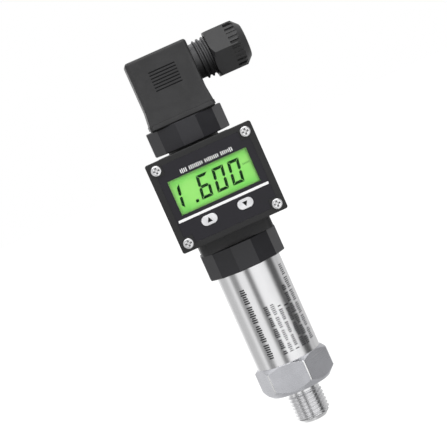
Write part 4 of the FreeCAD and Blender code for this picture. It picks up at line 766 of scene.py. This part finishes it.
def stroke_tree():
    """A row of short strokes of uneven height along X, in groups, as a plain printed row."""
    tree, given = new_tree("stroke_row", (
        ("Count", WHOLE, 20), ("Pitch", FLOAT, 0.8 * MM), ("Stroke", FLOAT, 0.3 * MM),
        ("Short", FLOAT, 1.0 * MM), ("Tall", FLOAT, 1.6 * MM), ("Thick", FLOAT, 0.02 * MM),
        ("Gap Every", FLOAT, 6.0), ("Seed", WHOLE, 1), ("Material", STUFF, None)))
    step = add(tree, "ShaderNodeCombineXYZ", {0: given["Pitch"]}).outputs[0]
    line = add(tree, "GeometryNodeMeshLine", {"Count": given["Count"], "Offset": step},
               mode="OFFSET").outputs[0]
    index = add(tree, "GeometryNodeInputIndex").outputs[0]
    beat = calc(tree, "MODULO", calc(tree, "ADD", index, given["Seed"]), given["Gap Every"])
    gap = calc(tree, "LESS_THAN", beat, 0.5)
    kept = add(tree, "GeometryNodeDeleteGeometry", {"Geometry": line, "Selection": gap},
               domain="POINT").outputs[0]
    stroke = add(tree, "GeometryNodeMeshCube",
                 {"Size": (1.0, 1.0, 1.0), "Vertices Z": 6}).outputs["Mesh"]
    tall = add(tree, "FunctionNodeRandomValue",
               {2: given["Short"], 3: given["Tall"], "Seed": given["Seed"]}, data_type="FLOAT")
    size = add(tree, "ShaderNodeCombineXYZ",
               {0: given["Stroke"], 1: given["Thick"], 2: tall.outputs[1]}).outputs[0]
    strokes = add(tree, "GeometryNodeInstanceOnPoints",
                  {"Points": kept, "Instance": stroke, "Scale": size}).outputs[0]
    close_tree(tree, strokes, given["Material"])
    return tree


def stroke_row(count, pitch, stroke, short, tall, gap_every, seed, finish):
    """A printed row of strokes, its sizes in millimetres."""
    values = {"Count": count, "Pitch": pitch * MM, "Stroke": stroke * MM, "Short": short * MM,
              "Tall": tall * MM, "Gap Every": gap_every, "Seed": seed,
              "Material": finishes[finish]}
    return grown_mesh(stroke_form, values)


# The process end

THREAD_PITCH = 1.5
THREAD_CREST = 7.0
THREAD_ROOT = 6.1
STUB_LENGTH = 14.4
RELIEF_LENGTH = 2.05
TIP_RADIUS = 4.6


def make_process_fitting():
    """The fitting turned down to the thread's root, with the thread wound on it."""
    shape = merged_copy("process_fitting")
    low_cone = -STUB_LENGTH + THREAD_ROOT - TIP_RADIUS
    for vert in shape.verts:
        reach = math.hypot(vert.co.x, vert.co.y)
        if vert.co.z < 0 and abs(reach - THREAD_CREST * MM) < CLOSE * MM:
            vert.co.x *= THREAD_ROOT * MM / reach
            vert.co.y *= THREAD_ROOT * MM / reach
            if vert.co.z < -STUB_LENGTH / 2 * MM:
                vert.co.z = low_cone * MM
    mesh = dressed_skin(shape, "process_fitting_dressed")
    fitting = piece("process_fitting_dressed", mesh, "steel")
    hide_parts("process_fitting")
    thread = wound_thread(THREAD_PITCH, THREAD_ROOT, THREAD_CREST, low_cone, low_cone,
                          -RELIEF_LENGTH, "steel")
    piece("process_thread", thread, "steel")


# The plug and its gland neck

GLAND_HEIGHT = 133.55
# Along the neck: where its rings begin, where the helix is wound from, where that rises out of the
# root, and the neck's end.
NECK_PLAIN_END = 14.5
NECK_START = 13.45
NECK_RUN_IN = 14.7
NECK_STOP = 28.1
NECK_PITCH = 1.95
NECK_CREST = 8.0
NECK_ROOT = 7.15
NECK_SHARES = {"Crest_Share": 0.26, "Root_Share": 0.30}
# The grip lines on the plug's front: from the lowest one up, with their floors at this Y.
GRIP_COUNT = 7
GRIP_WIDTH = 11.0
GRIP_LINE = 0.5
GRIP_PITCH = 1.25
GRIP_LOW = 128.8
GRIP_FLOOR = -13.3


def make_plug_housing():
    """The plug with a plain neck, the thread wound on it, and painted shade on the floors of its
    grip lines.
    """
    shape = merged_copy("plug_housing")
    for vert in shape.verts:
        above = vert.co.z - GLAND_HEIGHT * MM
        reach = math.hypot(vert.co.y, above)
        on_thread = (NECK_ROOT + CLOSE) * MM < reach < (NECK_CREST + CLOSE) * MM
        if NECK_PLAIN_END * MM < vert.co.x < NECK_STOP * MM and on_thread:
            vert.co.y *= NECK_ROOT * MM / reach
            vert.co.z = GLAND_HEIGHT * MM + above * (NECK_ROOT * MM / reach)
    mesh = dressed_skin(shape, "plug_housing_dressed")
    plug = piece("plug_housing_dressed", mesh, "plug")
    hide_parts("plug_housing")
    thread = wound_thread(NECK_PITCH, NECK_ROOT, NECK_CREST, NECK_START, NECK_RUN_IN,
                          NECK_STOP, "plug", **NECK_SHARES)
    half_turn = Matrix.Rotation(math.pi, 4, "Z")
    thread.transform(Matrix.Translation((0, 0, GLAND_HEIGHT * MM))
                     @ Matrix.Rotation(math.pi / 2, 4, "Y") @ half_turn)
    piece("neck_thread", thread, "plug")
    side = GRIP_WIDTH / 2 * MM
    lines = []
    for line in range(GRIP_COUNT):
        low = (GRIP_LOW + line * GRIP_PITCH) * MM
        high = low + GRIP_LINE * MM
        lines.append([(-side, low), (side, low), (side, high), (-side, high)])
    # Black plates on the grip lines' floors are painted shade.
    piece("grip_line_shade_plates", flat_plate(lines, (GRIP_FLOOR - PRINT_COAT) * MM, GRIP_FLOOR * MM),
          "black_print")


# Display

FILM_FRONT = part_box("front_label")[0].y
GLASS_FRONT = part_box("lcd_glass")[0].y
# The reading: each digit and its place along X, the strokes that are lit for it, and the point.
READING = (("1", -18.35), ("6", -6.75), ("0", -0.3), ("0", 6.1))
LIT = {"0": "abcdef", "1": "bc", "6": "acdefg"}
DIGIT_LOW = 84.75
DIGIT_HEIGHT = 9.2
DIGIT_WIDTH = 4.65
DIGIT_SLANT = 0.136
SEGMENT = 1.12
SEGMENT_GAP = 0.1
POINT_X = -9.2
POINT_SHAPE = ((0, -0.1), (1.2, -0.1), (1.2, 1.05), (0, 1.05))
POINT_ROUND = 0.3
# Rows of strokes: number, pitch, width, lowest and tallest, a gap every so many, and seed.
UNIT_STROKES = (5, 0.6, 0.22, 0.5, 0.9, 40.0, 3)
UNIT_PLACE = (12.7, 90.85)
TITLE_STROKES = (30, 0.72, 0.34, 1.0, 1.9, 9.0, 5)
TITLE_PLACE = (-9.9, 97.9)
RULE_SHAPE = ((-18.4, 80.2), (18.6, 80.2), (18.6, 81.2), (-18.4, 81.2))
RULE_ROUND = 0.15
ARROW_SHAPE = ((-1.05, -0.85), (1.05, -0.85), (0.0, 1.05))
ARROW_ROUND = 0.12


def segment_shapes():
    """The seven strokes of a digit that stands on 0, 0, by their usual letters."""
    w, h, s, g = DIGIT_WIDTH, DIGIT_HEIGHT, SEGMENT, SEGMENT_GAP
    m, half, inner = h / 2, s / 2, s + g
    upright = ((0, g), (0, m - half - g / 2), (half, m - g), (s, m - half - g / 2), (s, inner))
    lying = ((g, 0), (inner, s), (w - inner, s), (w - g, 0))
    return {
        "a": [(x, h - z) for x, z in lying],
        "b": [(w - x, h - z) for x, z in upright],
        "c": [(w - x, z) for x, z in upright],
        "d": lying,
        "e": upright,
        "f": [(x, h - z) for x, z in upright],
        "g": ((half + g, m), (inner, m + half), (w - inner, m + half), (w - half - g, m),
              (w - inner, m - half), (inner, m - half)),
    }


def slanted(corners, x):
    """A digit's outline at its place on the display, leaning to the right."""
    return [((x + cx + cz * DIGIT_SLANT) * MM, (DIGIT_LOW + cz) * MM) for cx, cz in corners]


def make_reading():
    """The digits on the display, and a faint row of strokes beside them."""
    shapes = []
    forms = segment_shapes()
    for digit, x in READING:
        shapes += [slanted(forms[letter], x) for letter in LIT[digit]]
    shapes.append(slanted(round_shape(POINT_SHAPE, POINT_ROUND), POINT_X))
    front = GLASS_FRONT - GLASS_COAT * MM
    piece("reading_digits", flat_plate(shapes, front, GLASS_FRONT), "segment_print")
    unit = stroke_row(*UNIT_STROKES, "faint_print")
    x, z = UNIT_PLACE
    unit.transform(Matrix.Translation((x * MM, front, z * MM)))
    piece("reading_unit", unit, "faint_print")


def make_front_print():
    """A white rule and a row of strokes on the film, and the arrows of the two keys."""
    front = FILM_FRONT - PRINT_COAT * MM
    rule = round_shape([(x * MM, z * MM) for x, z in RULE_SHAPE], RULE_ROUND * MM)
    piece("white_rule", flat_plate([rule], front, FILM_FRONT), "white_print")
    title = stroke_row(*TITLE_STROKES, "white_print")
    x, z = TITLE_PLACE
    title.transform(Matrix.Translation((x * MM, FILM_FRONT - PRINT_COAT / 2 * MM, z * MM)))
    piece("title_row", title, "white_print")
    for key, way in (("up_key", 1), ("down_key", -1)):
        low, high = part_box(key)
        middle = (low + high) / 2
        arrow = round_shape([(middle.x + x * MM, middle.z + way * z * MM)
                             for x, z in ARROW_SHAPE], ARROW_ROUND * MM)
        plate = flat_plate([arrow], low.y - PRINT_COAT * MM, low.y + PRINT_SUNK * MM)
        piece(f"{key}_mark", plate, "black_print", key)


# Printed rows up the tube: place round the tube by X, start, and the row of strokes as above.
TUBE_ROWS = (
    (-6.75, 16.4, 33, 0.90, 0.56, 1.7, 2.8, 9.0, 2),
    (-1.05, 16.2, 27, 0.78, 0.50, 1.3, 2.0, 6.0, 4),
    (1.60, 16.2, 27, 0.78, 0.34, 1.1, 1.8, 7.0, 9),
    (4.15, 16.2, 24, 0.78, 0.40, 1.1, 1.8, 7.0, 6),
    (6.95, 16.2, 23, 0.78, 0.50, 1.3, 2.2, 8.0, 3),
    (8.95, 16.2, 32, 0.78, 0.50, 1.5, 2.5, 6.0, 8),
    (11.20, 16.2, 43, 0.78, 0.38, 2.0, 3.2, 7.0, 7),
)


def make_tube_print():
    """Printed rows that run up the tube and follow its round."""
    radius = -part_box("body_tube")[0].y
    rows = bmesh.new()
    for x, start, *strokes in TUBE_ROWS:
        row = stroke_row(*strokes, "tube_print")
        row.transform(Matrix.Rotation(-math.pi / 2, 4, "Y"))
        around = math.asin(x * MM / radius)
        for vert in row.vertices:
            angle = around + vert.co.x / radius
            reach = radius + (TUBE_COAT if vert.co.y < 0 else -PRINT_SUNK) * MM
            vert.co = (reach * math.sin(angle), -reach * math.cos(angle),
                       start * MM + vert.co.z)
        rows.from_mesh(row)
    bmesh.ops.recalc_face_normals(rows, faces=rows.faces)
    mesh = bpy.data.meshes.new("tube_rows")
    rows.to_mesh(mesh)
    rows.free()
    piece("tube_rows", mesh, "tube_print")


def dress_nodes():
    """Each node of the model gets the finish of its slot; the gland nut is a little glossier."""
    for part in frame["record"]["subparts"]:
        mesh = nodes[part["node"]].data
        finish = "gland" if part["node"] == "gland_nut" else part["material_slot"]
        mesh.materials.clear()
        mesh.materials.append(finishes[finish])


bpy.context.scene.view_settings.view_transform = "Standard"
make_camera()
make_studio()
for lamp_name, lamp_values in LAMPS.items():
    soft_lamp(lamp_name, *lamp_values)
make_floor()
finishes = make_finishes()
thread_form = thread_tree()
stroke_form = stroke_tree()
dress_nodes()
make_process_fitting()
make_plug_housing()
make_reading()
make_front_print()
make_tube_print()
